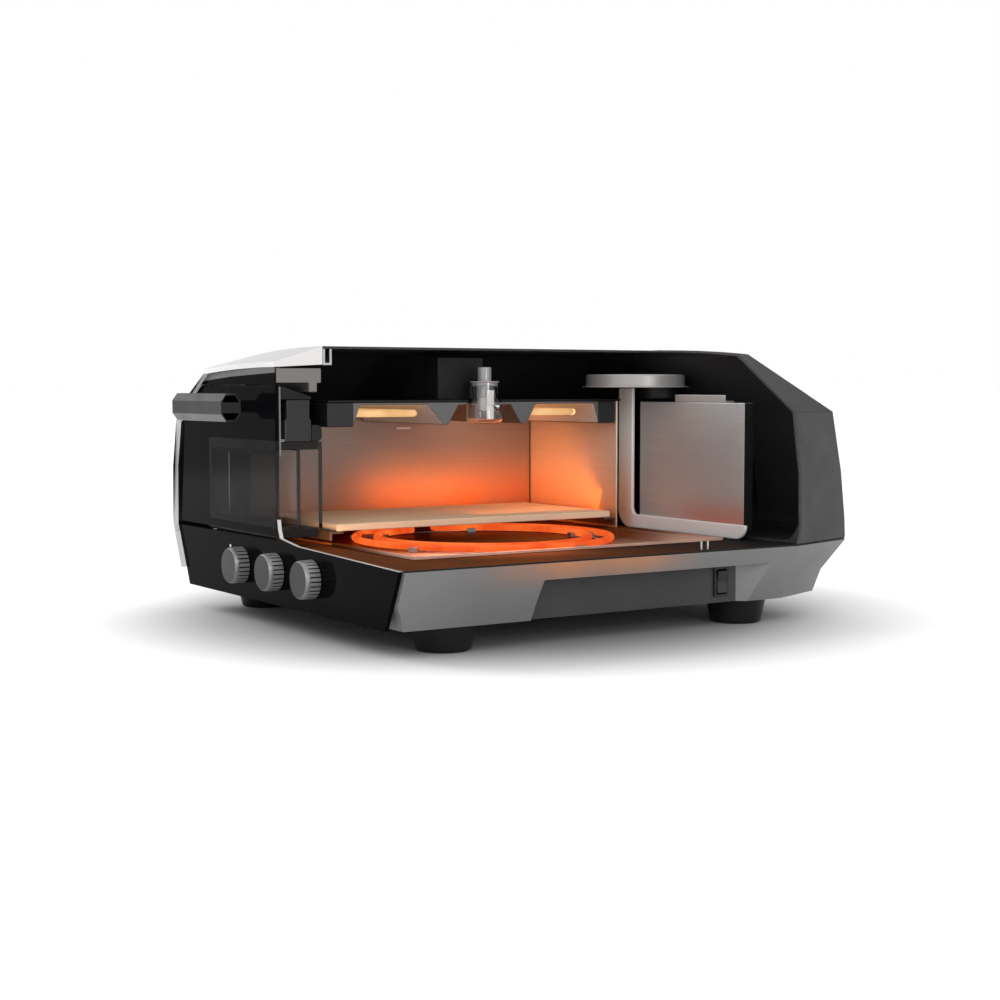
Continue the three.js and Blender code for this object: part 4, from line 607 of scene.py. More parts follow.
class Finishes:
    """Every finish on the oven, built when it is first asked for."""

    SHEETS = (
        Coated(
            "charcoal_powder_coat", (0.04, 0.04, 0.042), 0.5, POWDER,
            ior=1.4, tone=0.16, speck=0.05, wear=0.35,
        ),
        # darker coat for the shells' up-facing faces: painted shade
        Coated(
            "shell_top_painted_shade", (0.022, 0.022, 0.023), 0.5, POWDER, ior=1.25, tone=0.08, smudge=0.03
        ),
        BASE_COAT,
        # the base's right side, with the heaters' orange glow painted near its top
        replace(
            BASE_COAT, name="base_side_painted_glow",
            painted_glow=PaintedGlow((0.75, 0.3, 0.12), (0.052, 0.08), 1.0, 0.15, -0.04),
        ),
        Coated("recess_charcoal", (0.05, 0.05, 0.052), 0.55, POWDER, ior=1.4, tone=0.16),
        LACQUER_BLACK,
        replace(LACQUER_BLACK, name="gloss_black_border", roughness=0.05),
        # painted highlight of a bevel along the top strip's upper edge
        Coated("bevel_painted_highlight", grey(0.14), 0.3, (900, 0.000004), ior=1.3),
        Coated("printed_line", grey(0.02), 0.25, (900, 0.000002), ior=1.055),
        Coated("bare_cut_edge", (0.78, 0.76, 0.74), 0.4, SHEET, 0.2, tone=0.08),
        Coated("matt_black", grey(0.007), 0.5, ior=1.3, tone=0.2, wear=0.06),
        SHEET_COAT,
        replace(SHEET_COAT, name="front_frame_coat", colour=(0.2, 0.195, 0.19), roughness=0.38),
        replace(SHEET_COAT, name="light_grey_coat", colour=(0.42, 0.41, 0.40), roughness=0.38),
        Coated("cast_alloy", (0.13, 0.131, 0.133), 0.35, CAST, 0.5, tone=0.14, wear=0.2),
        Coated("cast_dark", (0.022, 0.022, 0.023), 0.4, CAST, 0.3, 1.4, tone=0.14, wear=0.1),
        Coated(
            "block_black", (0.016, 0.016, 0.017), 0.25, (1100, 0.00002),
            ior=1.4, tone=0.14, wear=0.15,
        ),
        Coated("block_grey", (0.055, 0.055, 0.056), 0.4, (1100, 0.00003), 0.2, tone=0.14, wear=0.2),
        Coated("reflector_bright", (0.6, 0.62, 0.63), 0.42, (900, 0.000003), 0.3, tone=0.05),
        replace(DARK_SATIN, name="handle_anodised", colour=(0.038, 0.037, 0.037)),
        replace(DARK_SATIN, name="dial_satin", colour=(0.055, 0.053, 0.054)),
        # lighter underside of the handle: painted light
        Coated("handle_underside_painted_light", (0.055, 0.052, 0.053), 0.34, MACHINED, 0.5, tone=0.08, wear=0.3),
        ANODISED,
        # the dials' rim ring: a painted highlight
        Coated("dial_rim_painted_highlight", (0.3, 0.29, 0.29), 0.3, (1900, 0.00001), 0.5, tone=0.06),
        Coated("black_rubber", grey(0.012), 0.35, (1200, 0.00004), ior=1.3, tone=0.2, dust=0.1),
        Coated("black_plastic", (0.012, 0.012, 0.013), 0.42, ior=1.4, tone=0.15),
        Coated("switch_gloss", (0.012, 0.012, 0.013), 0.16, (900, 0.00001)),
        Coated(
            "stone_cream", (0.97, 0.7, 0.48), 0.85, (900, 0.0002), ior=1.4, speck=0.3, smudge=0.05
        ),
        Coated(
            "mineral_wool", (0.5, 0.46, 0.38), 0.95, (500, 0.0012),
            ior=1.3, tone=0.25, speck=0.3, smudge=0.03,
        ),
        # dark speckled sheet behind the vents: painted shade
        Coated("vent_shade_sheet", grey(0.012), 0.6, (1400, 0.0002), ior=1.4, tone=0.3, speck=0.8),
        Coated("circuit_board", (0.02, 0.11, 0.05), 0.3, (900, 0.00002), tone=0.15),
        # white for the status light's diffuser and for the painted highlight plate in the lamp
        Coated("diffuser_and_highlight_white", (0.85, 0.85, 0.82), 0.3, (1200, 0.00002), tone=0.05),
        Coated("pressed_glass", grey(0.36), 0.12, (700, 0.00001), 0.1, 1.7),
        # the trims' silver given as a white diffuse colour: painted light
        Brushed("silver_trim_painted_light", grey(0.99), (0.3, 0.42), tone=0.02, metallic=0.0),
        # the visor's top faces duller: painted shade
        Brushed("silver_trim_top_painted_shade", grey(0.62), (0.3, 0.42), metallic=0.8),
        # orange growing towards the lower heater: painted heater glow
        Brushed(
            "brushed_walls", (0.2, 0.17, 0.155), (0.28, 0.44), LEVEL_LINES,
            tone=0.3, metallic=0.5, painted_glow=PaintedGlow((0.45, 0.13, 0.02), (0.175, 0.085), 0.95),
        ),
        # orange growing towards the lower heater: painted heater glow
        Brushed(
            "rear_wall_steel", (0.85, 0.68, 0.56), (0.28, 0.44), LEVEL_LINES,
            tone=0.25, metallic=0.4, painted_glow=PaintedGlow((0.75, 0.33, 0.08), (0.165, 0.085), 0.9),
        ),
        # orange growing towards the bottom: painted heater glow
        Brushed(
            "rear_panel_steel", (0.55, 0.59, 0.61), (0.28, 0.44), LEVEL_LINES, tone=0.3,
            metallic=0.5, painted_glow=PaintedGlow((0.6, 0.2, 0.09), (0.135, 0.092), 0.9, 0.15, 0.17, RIGHT),
        ),
        # orange growing towards its foot: painted heater glow
        Brushed(
            "frame_satin", grey(0.99), (0.3, 0.44), tone=0.06, metallic=0.0,
            painted_glow=PaintedGlow((0.95, 0.42, 0.2), (0.2, 0.1), 0.9, 0.03, -0.016, RIGHT),
        ),
        # brown towards the front middle, where the heater glow is painted
        Brushed(
            "deck_steel", grey(0.02), (0.4, 0.5), DEPTH_LINES, 0.000004, 0.06, 0.0, 1.02,
            PaintedGlow((0.19, 0.055, 0.014), (0.07, 0.08), 1.0, 0.34, -0.14),
        ),
        # its brown colour and the pink patch near the lower heater are painted heater glow
        Brushed(
            "tray_steel", (0.17, 0.05, 0.014), (0.3, 0.42), DEPTH_LINES, 0.000006, 0.08, 0.1, 1.1,
            PaintedGlow((0.88, 0.56, 0.44), (0.07, 0.075), 1.0, 0.13, 0.165, RIGHT),
        ),
        Brushed("rail_steel", (0.12, 0.07, 0.05), (0.3, 0.48), DEPTH_LINES, 0.000006, 0.08, 0.5),
        Brushed("zinc_plate", (0.42, 0.43, 0.44), (0.3, 0.5)),
        Glazed("clear_glass", (0.97, 0.98, 0.98)),
        Glazed("smoked_glass", grey(0.12), 1.08),
        Glowing(
            "lower_heater_glow", (0.08, 0.02, 0.01), (0.75, 0.068, 0.009), (1.0, 0.17, 0.03), 1.0
        ),
        Glowing("upper_heater_glow", (0.3, 0.2, 0.1), (0.75, 0.38, 0.13), (1.0, 0.62, 0.3), 0.8),
        Glowing("lamp_filament", (0.5, 0.5, 0.49), grey(0.8), grey(1.0), 0.12),
    )

    def __init__(self) -> None:
        """Keeps each finish by its name."""
        self.sheets = {sheet.name: sheet for sheet in self.SHEETS}
        self.made: dict[str, Material] = {}

    def get(self, name: str) -> Material:
        """Finds a finish's material, and builds it at its first use.

        Args:
            name: the finish's name.

        Returns:
            The material.
        """
        if name not in self.made:
            self.made[name] = self.sheets[name].build()
        return self.made[name]


FINISHES = Finishes()
BODY_OF = {
    node: body for body, nodes in frame["record"]["behaviour"]["bodies"].items() for node in nodes
}


def put(name: str, data: bpy.types.ID) -> Piece:
    """Adds an object to the scene.

    Args:
        name: its name.
        data: its mesh, lamp or camera.

    Returns:
        The object.
    """
    thing = bpy.data.objects.new(name, data)
    bpy.context.scene.collection.objects.link(thing)
    return thing


def aim(thing: Piece, way: Vector) -> None:
    """Turns a lamp or camera to look one way."""
    thing.rotation_mode = "QUATERNION"
    thing.rotation_quaternion = way.to_track_quat("-Z", "Y")


def dress(node: str, finish: str) -> None:
    """Gives a carried-over CAD node its material.

    Args:
        node: the node's name.
        finish: the finish's name.
    """
    mesh = frame["nodes"][node].data
    mesh.materials.clear()
    mesh.materials.append(FINISHES.get(finish))
    LOG.info("%s: %s", node, finish)


def soften(
    node: str, finish: str, width: float, reshape: Callable[[Form], None] | None = None
) -> Piece:
    """Makes a copy of a node with small rounded edges, which stands for it.

    Args:
        node: the node's name.
        finish: the finish's name.
        width: how far each edge is cut back, or 0.
        reshape: a last change of the form before its edges are rounded.

    Returns:
        The new piece.
    """
    mesh = bpy.data.meshes.new(node + "_form")
    work = bmesh.new()
    work.from_mesh(frame["nodes"][node].data)
    bmesh.ops.remove_doubles(work, verts=work.verts, dist=WELD)
    bmesh.ops.dissolve_limit(work, angle_limit=FLAT_ANGLE, verts=work.verts, edges=work.edges)
    if reshape:
        reshape(work)
    work.to_mesh(mesh)
    work.free()
    piece = put(node + "_finished", mesh)
    mesh.shade_smooth()
    mesh.set_sharp_from_angle(angle=SHARP_ANGLE)
    if width:
        edge = piece.modifiers.new("edges", "BEVEL")
        edge.width = width
        edge.segments = EDGE_STEPS
        edge.limit_method = "ANGLE"
        edge.angle_limit = SHARP_ANGLE
        edge.use_clamp_overlap = True
        edge.miter_outer = "MITER_ARC"
    settle(piece, finish)
    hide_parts(node)
    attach(piece, BODY_OF[node])
    LOG.info("%s: softened, %s", node, finish)
    return piece


def settle(piece: Piece, finish: str) -> None:
    """Applies a piece's modifiers with its flat faces kept flat, and gives it a finish.

    Args:
        piece: the object.
        finish: the finish's name.
    """
    even = piece.modifiers.new("even", "WEIGHTED_NORMAL")
    even.mode = "FACE_AREA"
    even.weight = EVEN_WEIGHT
    even.keep_sharp = True
    bpy.context.view_layer.update()
    graph = bpy.context.evaluated_depsgraph_get()
    final = bpy.data.meshes.new_from_object(
        piece.evaluated_get(graph), preserve_all_data_layers=True, depsgraph=graph
    )
    piece.modifiers.clear()
    piece.data = final
    final.materials.clear()
    final.materials.append(FINISHES.get(finish))


def extra(name: str, finish: str, work: Form, body: str = "oven_body") -> Piece:
    """Makes a piece that only the pictures have from a finished form.

    Args:
        name: the piece's name.
        finish: the finish's name.
        work: its form, which is used up.
        body: the body that it moves with.

    Returns:
        The new piece.
    """
    mesh = bpy.data.meshes.new(name + "_form")
    work.to_mesh(mesh)
    work.free()
    mesh.materials.append(FINISHES.get(finish))
    piece = put(name, mesh)
    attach(piece, body)
    LOG.info("%s: added, %s", name, finish)
    return piece


def slab(name: str, finish: str, low: Vector, high: Vector) -> Piece:
    """Adds a small rectangular piece.

    Args:
        name: the piece's name.
        finish: the finish's name.
        low: its lowest corner.
        high: its highest corner.

    Returns:
        The new piece.
    """
    work = bmesh.new()
    bmesh.ops.create_cube(work, size=1.0)
    for vert in work.verts:
        vert.co = Vector(low[axis] if vert.co[axis] < 0 else high[axis] for axis in range(3))
    return extra(name, finish, work)


def rod(name: str, finish: str, foot: Vector, radius: float, height: float) -> None:
    """Adds a small upright pin.

    Args:
        name: the pin's name.
        finish: the finish's name.
        foot: the middle of its lower end.
        radius: its radius.
        height: its height.
    """
    work = bmesh.new()
    bmesh.ops.create_cone(
        work, cap_ends=True, segments=ROD_SIDES, radius1=radius, radius2=radius, depth=height
    )
    bmesh.ops.translate(work, verts=work.verts, vec=foot + Vector((0, 0, height / 2)))
    extra(name, finish, work)


def paint(piece: Piece, finish: str, chooses: Chooser) -> None:
    """Gives some faces of a piece another finish.

    Args:
        piece: the object.
        finish: the finish's name.
        chooses: says of a face's middle and normal whether it takes the finish.
    """
    piece.data.materials.append(FINISHES.get(finish))
    slot = len(piece.data.materials) - 1
    for face in piece.data.polygons:
        if chooses(face.center, face.normal):
            face.material_index = slot


def cut(work: Form, point: Vector, normal: Triple) -> None:
    """Adds edges to a form where a plane crosses it."""
    everything = [*work.verts, *work.edges, *work.faces]
    bmesh.ops.bisect_plane(work, geom=everything, plane_co=point, plane_no=normal, dist=CUT_MARGIN)


def slice_mesh(piece: Piece, planes: list[tuple[Vector, Triple]]) -> None:
    """Adds edges to a piece's mesh where planes cross it.

    Args:
        piece: the object.
        planes: a point and a normal for each plane.
    """
    work = bmesh.new()
    work.from_mesh(piece.data)
    for point, normal in planes:
        cut(work, point, normal)
    work.to_mesh(piece.data)
    work.free()


@dataclass
class Casing:
    """The painted shells, the deck, the trims and the feet."""

    edge: float = 0.0008
    trim_edge: float = 0.0005
    strip_edge: float = 0.00025
    seam: float = 0.08
    seam_half: float = 0.245
    chin: float = 0.048
    chin_half: float = 0.2335
    bottom: float = 0.0262
    recess_along: Pair = (-0.1, 0.19)
    recess_top: float = 0.07
    recess_inner: float = 0.19
    recess_skin: float = 0.003
    recess_turn: float = -0.4
    cut_side: float = -0.001
    cut_low: float = 0.078
    stud_places: Pair = (0.0925, 0.1005)
    stud_side: float = 0.236
    stud_radius: float = 0.0012
    stud_height: float = 0.008
    deck_top: float = 0.0818
    vent_half: float = 0.084
    vent_low: float = 0.11
    vent_high: float = 0.184
    shade_sheet_rear: float = 0.3003
    shade_sheet_thick: float = 0.0006
    rear_lean: float = 0.1415
    rim_reach: float = -0.19
    rim_proud: float = 0.005
    rim_lean: float = 0.0023
    band_bend: Triple = (-0.105, 0.0, 0.25)
    band_slopes: Pair = (0.0651, 0.0352)

    def build(self) -> None:
        """Rounds and dresses each piece of the casing."""
        base = soften("base_shell", "base_powder_coat", self.edge)
        # faces that look right take the painted glow of the heaters near the deck
        paint(base, "base_side_painted_glow", lambda middle, normal: normal.x > LEANING)
        paint(base, "recess_charcoal", self.in_recess)
        deck = soften("base_deck", "deck_steel", self.trim_edge)
        # the deck's side edges are painted black as painted shade in the seam
        paint(deck, "matt_black", lambda middle, normal: abs(normal.z) < TURNED)
        for corner in ("front_left", "front_right", "rear_left", "rear_right"):
            soften("foot_" + corner, "black_rubber", self.edge)
        for node in ("upper_shell", "rear_shell"):
            shell = soften(node, "charcoal_powder_coat", self.edge)
            # faces that look up are painted darker as painted shade
            paint(shell, "shell_top_painted_shade", lambda middle, normal: normal.z > LEANING)
        self.visor()
        # the corner trim is painted white as painted light
        soften("corner_trim", "silver_trim_painted_light", self.trim_edge, self.tilt_rim)
        strip = soften("control_fascia", "gloss_black_strip", self.trim_edge)
        paint(strip, "bare_cut_edge", self.on_cut_edge)
        self.top_strip()
        soften("front_frame", "front_frame_coat", self.edge)
        soften("roof_rail", "zinc_plate", self.trim_edge)
        self.vent_shade()
        for number, along in enumerate(self.stud_places):
            foot = Vector((self.stud_side, along, self.deck_top))
            rod(f"deck_stud_{number}", "zinc_plate", foot, self.stud_radius, self.stud_height)

    def visor(self) -> None:
        """Makes the silver visor: white as painted light, its top duller as painted shade, its
        inner walls in the gap black as painted shade.
        """
        visor = soften("visor_trim", "silver_trim_painted_light", self.trim_edge, self.tilt_rim)
        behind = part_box("visor_trim")[0].y + self.rim_proud
        # the visor's top faces are duller as painted shade
        paint(visor, "silver_trim_top_painted_shade", lambda middle, normal: normal.z > SQUARE)
        # inner side walls behind the fascia, in the gap, are painted black as painted shade
        paint(
            visor,
            "matt_black",
            lambda middle, normal: middle.y > behind
            and normal.x > SQUARE
            and middle.x < self.rim_reach,
        )

    def vent_shade(self) -> None:
        """Closes the rear vents from inside with a dark speckled sheet that leans with the rear
        wall, as painted shade.
        """
        low = Vector((-self.vent_half, self.shade_sheet_rear - self.shade_sheet_thick, self.vent_low))
        high = Vector((self.vent_half, self.shade_sheet_rear, self.vent_high))
        vent_shade = slab("vent_shade_sheet", "vent_shade_sheet", low, high)
        for vert in vent_shade.data.vertices:
            vert.co.y -= (vert.co.z - self.vent_low) * self.rear_lean

    def tilt_rim(self, work: Form) -> None:
        """Leans the side rim's inner wall outwards, so that it catches the light.

        Args:
            work: the trim's form.
        """
        front = min(vert.co.y for vert in work.verts)
        behind = front + self.rim_proud
        cut(work, Vector((0, behind, 0)), REAR)
        leans: dict[bmesh.types.BMVert, Vector] = {}
        for face in work.faces:
            middle, normal = face.calc_center_median(), face.normal
            if normal.x > LEANING and middle.y < behind and middle.x < self.rim_reach:
                for vert in face.verts:
                    if vert.co.y < front + self.trim_edge:
                        outward = Vector((normal.x, 0, normal.z))
                        leans[vert] = leans.get(vert, Vector()) + outward
        for vert, lean in leans.items():
            vert.co -= lean.normalized() * self.rim_lean

    def in_recess(self, middle: Vector, normal: Vector) -> bool:
        """Tells a hand recess's faces from the base's outer side.

        Args:
            middle: the face's middle.
            normal: its normal.

        Returns:
            Whether the face lies inside a recess.
        """
        front, rear = self.recess_along
        share = (middle.z - self.chin) / (self.seam - self.chin)
        side = self.chin_half + (self.seam_half - self.chin_half) * share
        return (
            front < middle.y < rear
            and self.bottom < middle.z < self.recess_top
            and self.recess_inner < abs(middle.x) < side - self.recess_skin
            and normal.y > self.recess_turn
        )

    def on_cut_edge(self, middle: Vector, normal: Vector) -> bool:
        """Tells whether a face of the control strip was left bare by the cut."""
        near = middle.x > self.cut_side and middle.z > self.cut_low
        return near and (normal.z > TURNED or normal.x > TURNED)

    def top_strip(self) -> None:
        """Makes the strip over the door, with a grey band painted along its upper edge as the
        highlight of a bevel.
        """
        strip = soften("top_fascia", "gloss_black_strip", self.strip_edge)
        bend = Vector(self.band_bend)
        slice_mesh(strip, [(bend, (-slope, 0, 1)) for slope in self.band_slopes])
        # a band along the upper edge is painted grey as the highlight of a bevel
        paint(
            strip,
            "bevel_painted_highlight",
            lambda middle, normal: normal.y < -TURNED
            and middle.z > bend.z + min(slope * (middle.x - bend.x) for slope in self.band_slopes),
        )


@dataclass
class Door:
    """The drop-down door: three panes, their frame, the seal and the handle."""

    edge: float = 0.0005
    block_edge: float = 0.001
    window_half: float = 0.160
    window_low: float = 0.1018
    window_high: float = 0.187
    line_inner: float = 0.1525
    line_low: float = 0.1065
    line_high: float = 0.177
    block_step: float = 0.2071
    channel_hook: float = 0.1886
    handle_reach: float = 0.0085

    def build(self) -> None:
        """Rounds and dresses the door's pieces."""
        self.outer_pane()
        for place in ("middle", "inner"):
            soften(f"door_{place}_glass", "clear_glass", self.edge)
        for node in ("door_bottom_rail", "door_side_rail", "door_cross_bar", "door_cap"):
            soften(node, "matt_black", self.edge)
        block = soften("door_block", "block_black", self.block_edge)
        paint(block, "block_grey", lambda middle, normal: middle.z < self.block_step)
        channel = soften("door_channel", "channel_coat", self.edge)
        paint(channel, "light_grey_coat", lambda middle, normal: middle.z < self.channel_hook)
        soften("door_seal", "black_rubber", self.edge)
        self.handle()
        soften("handle_post", "handle_anodised", self.edge)
        dress("hinge_pin", "zinc_plate")

    def handle(self) -> None:
        """Makes the handle bar with painted light on its underside and painted shade on its cut end
        and in its hollow.
        """
        bar = soften("handle_bar", "handle_anodised", self.edge)
        low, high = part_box("handle_bar")
        centre = (low + high) / 2

        def shaded_inside(middle: Vector, normal: Vector) -> bool:
            """Tells the cut end and the hollow, painted black as shade, from the bar's outside."""
            outward = normal.y * (middle.y - centre.y) + normal.z * (middle.z - centre.z)
            return normal.x > FACING or outward < self.handle_reach

        # the underside facets are painted lighter as painted light
        paint(bar, "handle_underside_painted_light", lambda middle, normal: normal.z < -LEANING)
        # the cut end and the hollow are painted black as painted shade
        paint(bar, "matt_black", shaded_inside)

    def outer_pane(self) -> None:
        """Makes the outer pane: a black printed border, a fine line and a smoked window."""
        pane = soften("door_outer_glass", "gloss_black_border", self.edge)
        sides = [(Vector((-half, 0, 0)), RIGHT) for half in (self.window_half, self.line_inner)]
        heights = (self.window_low, self.line_low, self.line_high, self.window_high)
        slice_mesh(pane, sides + [(Vector((0, 0, height)), UP) for height in heights])
        for finish, half, low, high in (
            ("printed_line", self.window_half, self.window_low, self.window_high),
            ("smoked_glass", self.line_inner, self.line_low, self.line_high),
        ):
            paint(pane, finish, lambda middle, normal: middle.x > -half and low < middle.z < high)


@dataclass
class Chamber:
    """The heated chamber: tray, stone, walls, ceiling, heaters and lamp."""

    edge: float = 0.0005
    round_edge: float = 0.001
    wool_edge: float = 0.002
    clip_edge: float = 0.00025
    recesses: tuple[Pair, ...] = ((-0.162, -0.0595), (-0.0375, 0.0258), (0.0475, 0.141))
    reflector_low: float = 0.2005
    blocks: Pair = (-0.1625, 0.1412)
    bracket_dark: float = 0.2395
    wall_sheet: float = 0.002
    seam_width: float = 0.0009
    # the curved plate in the lamp glass, a painted highlight
    highlight_steps: int = 8
    highlight_turn: Pair = (-22.0, 14.0)
    highlight_radius: float = 0.0125
    highlight_thick: float = 0.0006
    highlight_low: float = 0.206
    highlight_high: float = 0.236
    clip_front: float = -0.017
    clip_low: float = 0.1915
    clip_size: Triple = (0.0015, 0.018, 0.0022)

    def build(self) -> None:
        """Rounds and dresses the chamber's pieces."""
        soften("element_tray", "tray_steel", self.edge)
        soften("baking_stone", "stone_cream", self.round_edge)
        soften("stone_frame", "rail_steel", self.edge)
        soften("chamber_side_wall", "brushed_walls", self.edge)
        soften("chamber_rear_wall", "rear_wall_steel", self.edge)
        self.corner_seam()
        soften("ceiling_plate", "matt_black", self.edge)
        self.reflector()
        for side in ("side", "rear"):
            soften(side + "_insulation", "mineral_wool", self.wool_edge)
        soften("lower_element", "lower_heater_glow", 0)
        soften("element_support", "zinc_plate", self.clip_edge)
        for side in ("front", "rear"):
            soften("upper_element_" + side, "upper_heater_glow", 0)
        soften("lamp_glass", "clear_glass", 0)
        soften("lamp_socket", "pressed_glass", self.edge)
        soften("lamp_bulb", "lamp_filament", 0)
        self.lamp_highlight_plate()
        self.wall_clip()
        bracket = soften("lamp_bracket", "black_plastic", self.edge)
        # the side facing right is painted black as painted shade; below bracket_dark it is painted
        # black too
        paint(
            bracket,
            "matt_black",
            lambda middle, normal: middle.z < self.bracket_dark or normal.x > FACING,
        )

    def reflector(self) -> None:
        """Makes the ceiling's lower sheet: grey, black at both ends and bright in its recesses."""
        sheet = soften("ceiling_reflector", "cast_alloy", self.round_edge)
        front, rear = self.blocks
        slice_mesh(sheet, [(Vector((0, along, 0)), REAR) for along in self.blocks])
        paint(sheet, "cast_dark", lambda middle, normal: not front < middle.y < rear)
        paint(sheet, "reflector_bright", self.in_recess)

    def lamp_highlight_plate(self) -> None:
        """Stands a curved bright plate inside the lamp's glass, between it and the bulb, as a
        painted highlight.
        """
        low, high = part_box("lamp_glass")
        axis = (low + high) / 2
        start, end = self.highlight_turn
        radii = (self.highlight_radius, self.highlight_radius + self.highlight_thick)
        section = [(radius, self.highlight_low) for radius in radii]
        section += [(radius, self.highlight_high) for radius in reversed(radii)]
        work = bmesh.new()
        rings = []
        for step in range(self.highlight_steps + 1):
            turn = math.radians(start + (end - start) * step / self.highlight_steps)
            across, along = math.cos(turn), math.sin(turn)
            corners = ((axis.x + r * across, axis.y + r * along, height) for r, height in section)
            rings.append([work.verts.new(corner) for corner in corners])
        for first, second in zip(rings, rings[1:]):
            for side in range(len(section)):
                work.faces.new((first[side - 1], first[side], second[side], second[side - 1]))
        work.faces.new(rings[0][::-1])
        work.faces.new(rings[-1])
        bmesh.ops.recalc_face_normals(work, faces=work.faces)
        extra("lamp_highlight_plate", "diffuser_and_highlight_white", work)

    def wall_clip(self) -> None:
        """Adds the small clip near the top of the side wall."""
        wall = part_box("chamber_side_wall")[1].x
        low = Vector((wall, self.clip_front, self.clip_low))
        slab("wall_clip", "zinc_plate", low, low + Vector(self.clip_size))

    def corner_seam(self) -> None:
        """Fills the joint of the side and rear walls with a thin dark seal."""
        side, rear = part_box("chamber_side_wall"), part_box("chamber_rear_wall")
        inner = side[0].x + self.wall_sheet
        low = Vector((inner, rear[0].y - self.seam_width, rear[0].z))
        high = Vector((inner + self.seam_width, rear[0].y, rear[1].z))
        slab("corner_seal", "matt_black", low, high)

    def in_recess(self, middle: Vector, normal: Vector) -> bool:
        """Finds the polished faces of the two heater recesses and the lamp's bay.

        Args:
            middle: the face's middle.
            normal: its normal.

        Returns:
            Whether the face lies in a recess.
        """
        along = any(front < middle.y < rear for front, rear in self.recesses)
        level = abs(normal.x) < TURNED and normal.z < LEANING
        return along and level and middle.z > self.reflector_low


@dataclass
class RearStructure:
    """The band, panel and fan behind the chamber."""

    edge: float = 0.0005
    frame_edge: float = 0.001

    def build(self) -> None:
        """Rounds and dresses the rear pieces."""
        soften("rear_frame", "frame_satin", self.frame_edge)
        panel = soften("rear_panel", "rear_panel_steel", self.edge)
        paint(panel, "matt_black", lambda middle, normal: normal.x > FACING)
        soften("fan_housing", "light_grey_coat", self.edge)
        soften("fan_motor", "black_plastic", self.edge)
        soften("fan_bracket", "light_grey_coat", self.edge)


@dataclass
class Controls:
    """The dials, the power switch, the inlet and the boards."""

    edge: float = 0.0004
    groove_radius: float = 0.0181
    side_turn: float = 0.1
    face_turn: float = 0.97

    def build(self) -> None:
        """Rounds and dresses the controls."""
        for side in ("left", "middle", "right"):
            self.dial(side)
        soften("status_light", "diffuser_and_highlight_white", 0)
        soften("switch_housing", "black_plastic", self.edge)
        soften("rocker_switch", "switch_gloss", self.edge)
        soften("power_inlet", "black_plastic", self.edge)
        dress("encoder_board", "black_plastic")
        dress("control_board", "circuit_board")
        # the hinge bracket is dressed black as painted shade in the slot below the door
        dress("hinge_bracket", "matt_black")

    def dial(self, side: str) -> None:
        """Dresses a dial: satin face, sides and ribs lighter as painted light, rim as a painted
        highlight, grooves black as painted shade.

        Args:
            side: which of the three it is.
        """
        dial = soften("knob_" + side, "dial_satin", 0)
        centre = (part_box("knob_" + side)[0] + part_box("knob_" + side)[1]) / 2

        def groove(middle: Vector, normal: Vector) -> bool:
            """Tells the bottom of a groove from the top of a rib."""
            out = math.hypot(middle.x - centre.x, middle.z - centre.z)
            return abs(normal.y) < self.side_turn and out < self.groove_radius

        # the sides are painted lighter than the face as painted light, the rim ring as a painted
        # highlight
        paint(dial, "dial_side_painted_light", lambda middle, normal: abs(normal.y) < self.side_turn)
        paint(
            dial, "dial_rim_painted_highlight", lambda middle, normal: -self.face_turn < normal.y < -self.side_turn
        )
        # the grooves between the ribs are painted black as painted shade
        paint(dial, "matt_black", groove)


@dataclass(frozen=True)
class Lamp:
    """A soft lamp, which itself isn't seen. Its spread is in degrees."""

    name: str
    place: Triple
    target: Triple
    size: Pair
    watts: float
    colour: Colour = grey(1.0)
    spread: float = 180.0

    def hang(self) -> None:
        """Adds the lamp and turns it to its target."""
        data = bpy.data.lights.new(self.name, "AREA")
        data.shape = "RECTANGLE"
        data.size, data.size_y = self.size
        data.energy = self.watts
        data.color = self.colour
        data.spread = math.radians(self.spread)
        lamp = put(self.name, data)
        lamp.location = self.place
        aim(lamp, Vector(self.target) - Vector(self.place))
        lamp.visible_camera = False


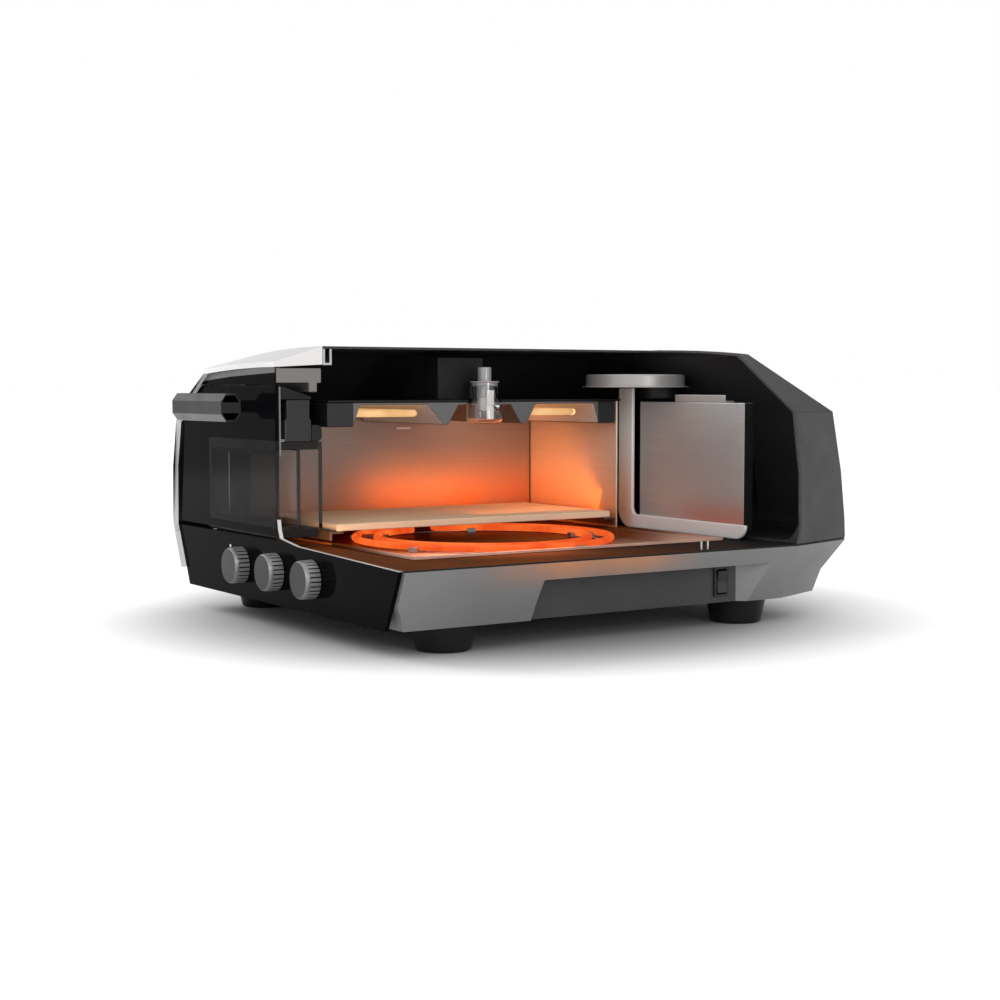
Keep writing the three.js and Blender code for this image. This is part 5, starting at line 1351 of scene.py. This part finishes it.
@dataclass
class Studio:
    """The floor, the light and the camera.

    A soft key hangs in front on the left, with a weak fill, and warm lamps stand in for the light
    that the heaters throw on what is round them.
    """

    lens: float = 61.62
    sensor: float = 36.0
    sight: float = 100.0
    azimuth: float = 56.91
    elevation: float = 3.87
    place: Triple = (1.5176, -0.9762, 0.2423)
    floor_half: float = 30.0
    # the floor's painted shadow: where it fades out, and its greys
    shadow_span: Pair = (0.18, 0.42)
    shadow_greys: Pair = (0.42, 0.9)
    fade_span: Pair = (0.26, 0.54)
    fade: float = 0.55
    sky: float = 0.55

    WHITE = (1.0, 1.0, 1.0, 1.0)
    WARM = (1.0, 0.27, 0.05)
    ROSY = (1.0, 0.55, 0.38)
    AMBER = (1.0, 0.6, 0.3)
    PALE = (1.0, 0.85, 0.75)
    LAMPS = (
        Lamp("key", (-2.3, -1.6, 1.6), (0, 0, 0.12), (1.5, 1.5), 44.0),
        Lamp("fill", (2.3, -1.6, 1.7), (0, 0, 0.12), (2.0, 2.0), 16.0),
        Lamp("strip", (2.2, -0.1, 0.45), (0, 0, 0.2), (0.25, 0.86), 6.0),
        Lamp(
            "glow_on_wall", (-0.03, 0.09, 0.11), (-0.17, 0.09, 0.16), (0.16, 0.03),
            0.15, WARM, 110,
        ),
        Lamp("glow_on_rear", (-0.1, 0.1, 0.1), (-0.12, 0.17, 0.14), (0.12, 0.03), 0.07, WARM, 110),
        Lamp(
            "glow_on_pan", (0.12, -0.09, 0.15), (0.118, -0.092, 0.083), (0.05, 0.16),
            0.17, ROSY, 110,
        ),
        Lamp(
            "glow_on_stone", (-0.02, -0.21, 0.088), (-0.04, -0.17, 0.1), (0.1, 0.01),
            0.012, AMBER, 120,
        ),
        Lamp(
            "front_recess", (-0.01, -0.115, 0.21), (-0.17, -0.115, 0.214), (0.05, 0.01),
            0.014, PALE, 60,
        ),
        Lamp(
            "rear_recess", (-0.01, 0.095, 0.21), (-0.17, 0.095, 0.214), (0.05, 0.01),
            0.014, PALE, 60,
        ),
    )

    def build(self) -> None:
        """Sets up everything round the object."""
        self.camera()
        self.floor()
        self.world()
        for lamp in self.LAMPS:
            lamp.hang()
        bpy.context.scene.view_settings.view_transform = "Standard"

    def camera(self) -> None:
        """Places the camera at the photograph's angle."""
        data = bpy.data.cameras.new("camera")
        data.lens = self.lens
        data.sensor_width = self.sensor
        data.sensor_fit = "HORIZONTAL"
        data.clip_end = self.sight
        camera = put("camera", data)
        camera.location = self.place
        turn, lift = math.radians(self.azimuth), math.radians(self.elevation)
        level = math.cos(lift)
        aim(camera, -Vector((math.sin(turn) * level, -math.cos(turn) * level, math.sin(lift))))
        bpy.context.scene.camera = camera

    def floor(self) -> None:
        """Lays a pale floor that fades to white for what looks at it, painted darker near the
        object as a painted shadow.
        """
        half = self.floor_half
        mesh = bpy.data.meshes.new("floor")
        corners = [(-half, -half, 0), (half, -half, 0), (half, half, 0), (-half, half, 0)]
        mesh.from_pydata(corners, [], [(0, 1, 2, 3)])
        floor = put("floor", mesh)
        material, graph, shader = new_material("pale_floor")
        reach = graph.add("VectorMath", {0: graph.place()}, operation="LENGTH").outputs["Value"]
        far = graph.remap(reach, self.fade_span, (0.0, self.fade), "SMOOTHSTEP")
        # darker near the object: a painted shadow on the floor
        near = graph.remap(reach, self.shadow_span, kind="SMOOTHSTEP")
        low, high = self.shadow_greys
        values = {"Base Color": graph.blend(near, grey(low), grey(high))}
        values["Emission Strength"] = graph.product(graph.looked_at(), far)
        values |= {"Emission Color": self.WHITE, "Roughness": 0.9, "IOR": 1.2}
        graph.fill(shader, values)
        mesh.materials.append(material)

    def world(self) -> None:
        """Lights the scene from all round, with a white backdrop for what looks at it."""
        world = bpy.data.worlds.new("studio")
        bpy.context.scene.world = world
        world.use_nodes = True
        graph = Graph(world.node_tree)
        strength = graph.remap(graph.looked_at(), (0.0, 1.0), (self.sky, 1.0))
        back = graph.add("Background", {"Color": self.WHITE, "Strength": strength})
        graph.add("OutputWorld", {"Surface": back.outputs[0]})


def main() -> None:
    """Builds and dresses the oven, then its studio."""
    logging.basicConfig(level=logging.INFO, format="%(name)s: %(message)s")
    for assembly in (Casing(), Door(), Chamber(), RearStructure(), Controls(), Studio()):
        LOG.info("building %s", type(assembly).__name__)
        assembly.build()


if __name__ == "__main__":
    main()
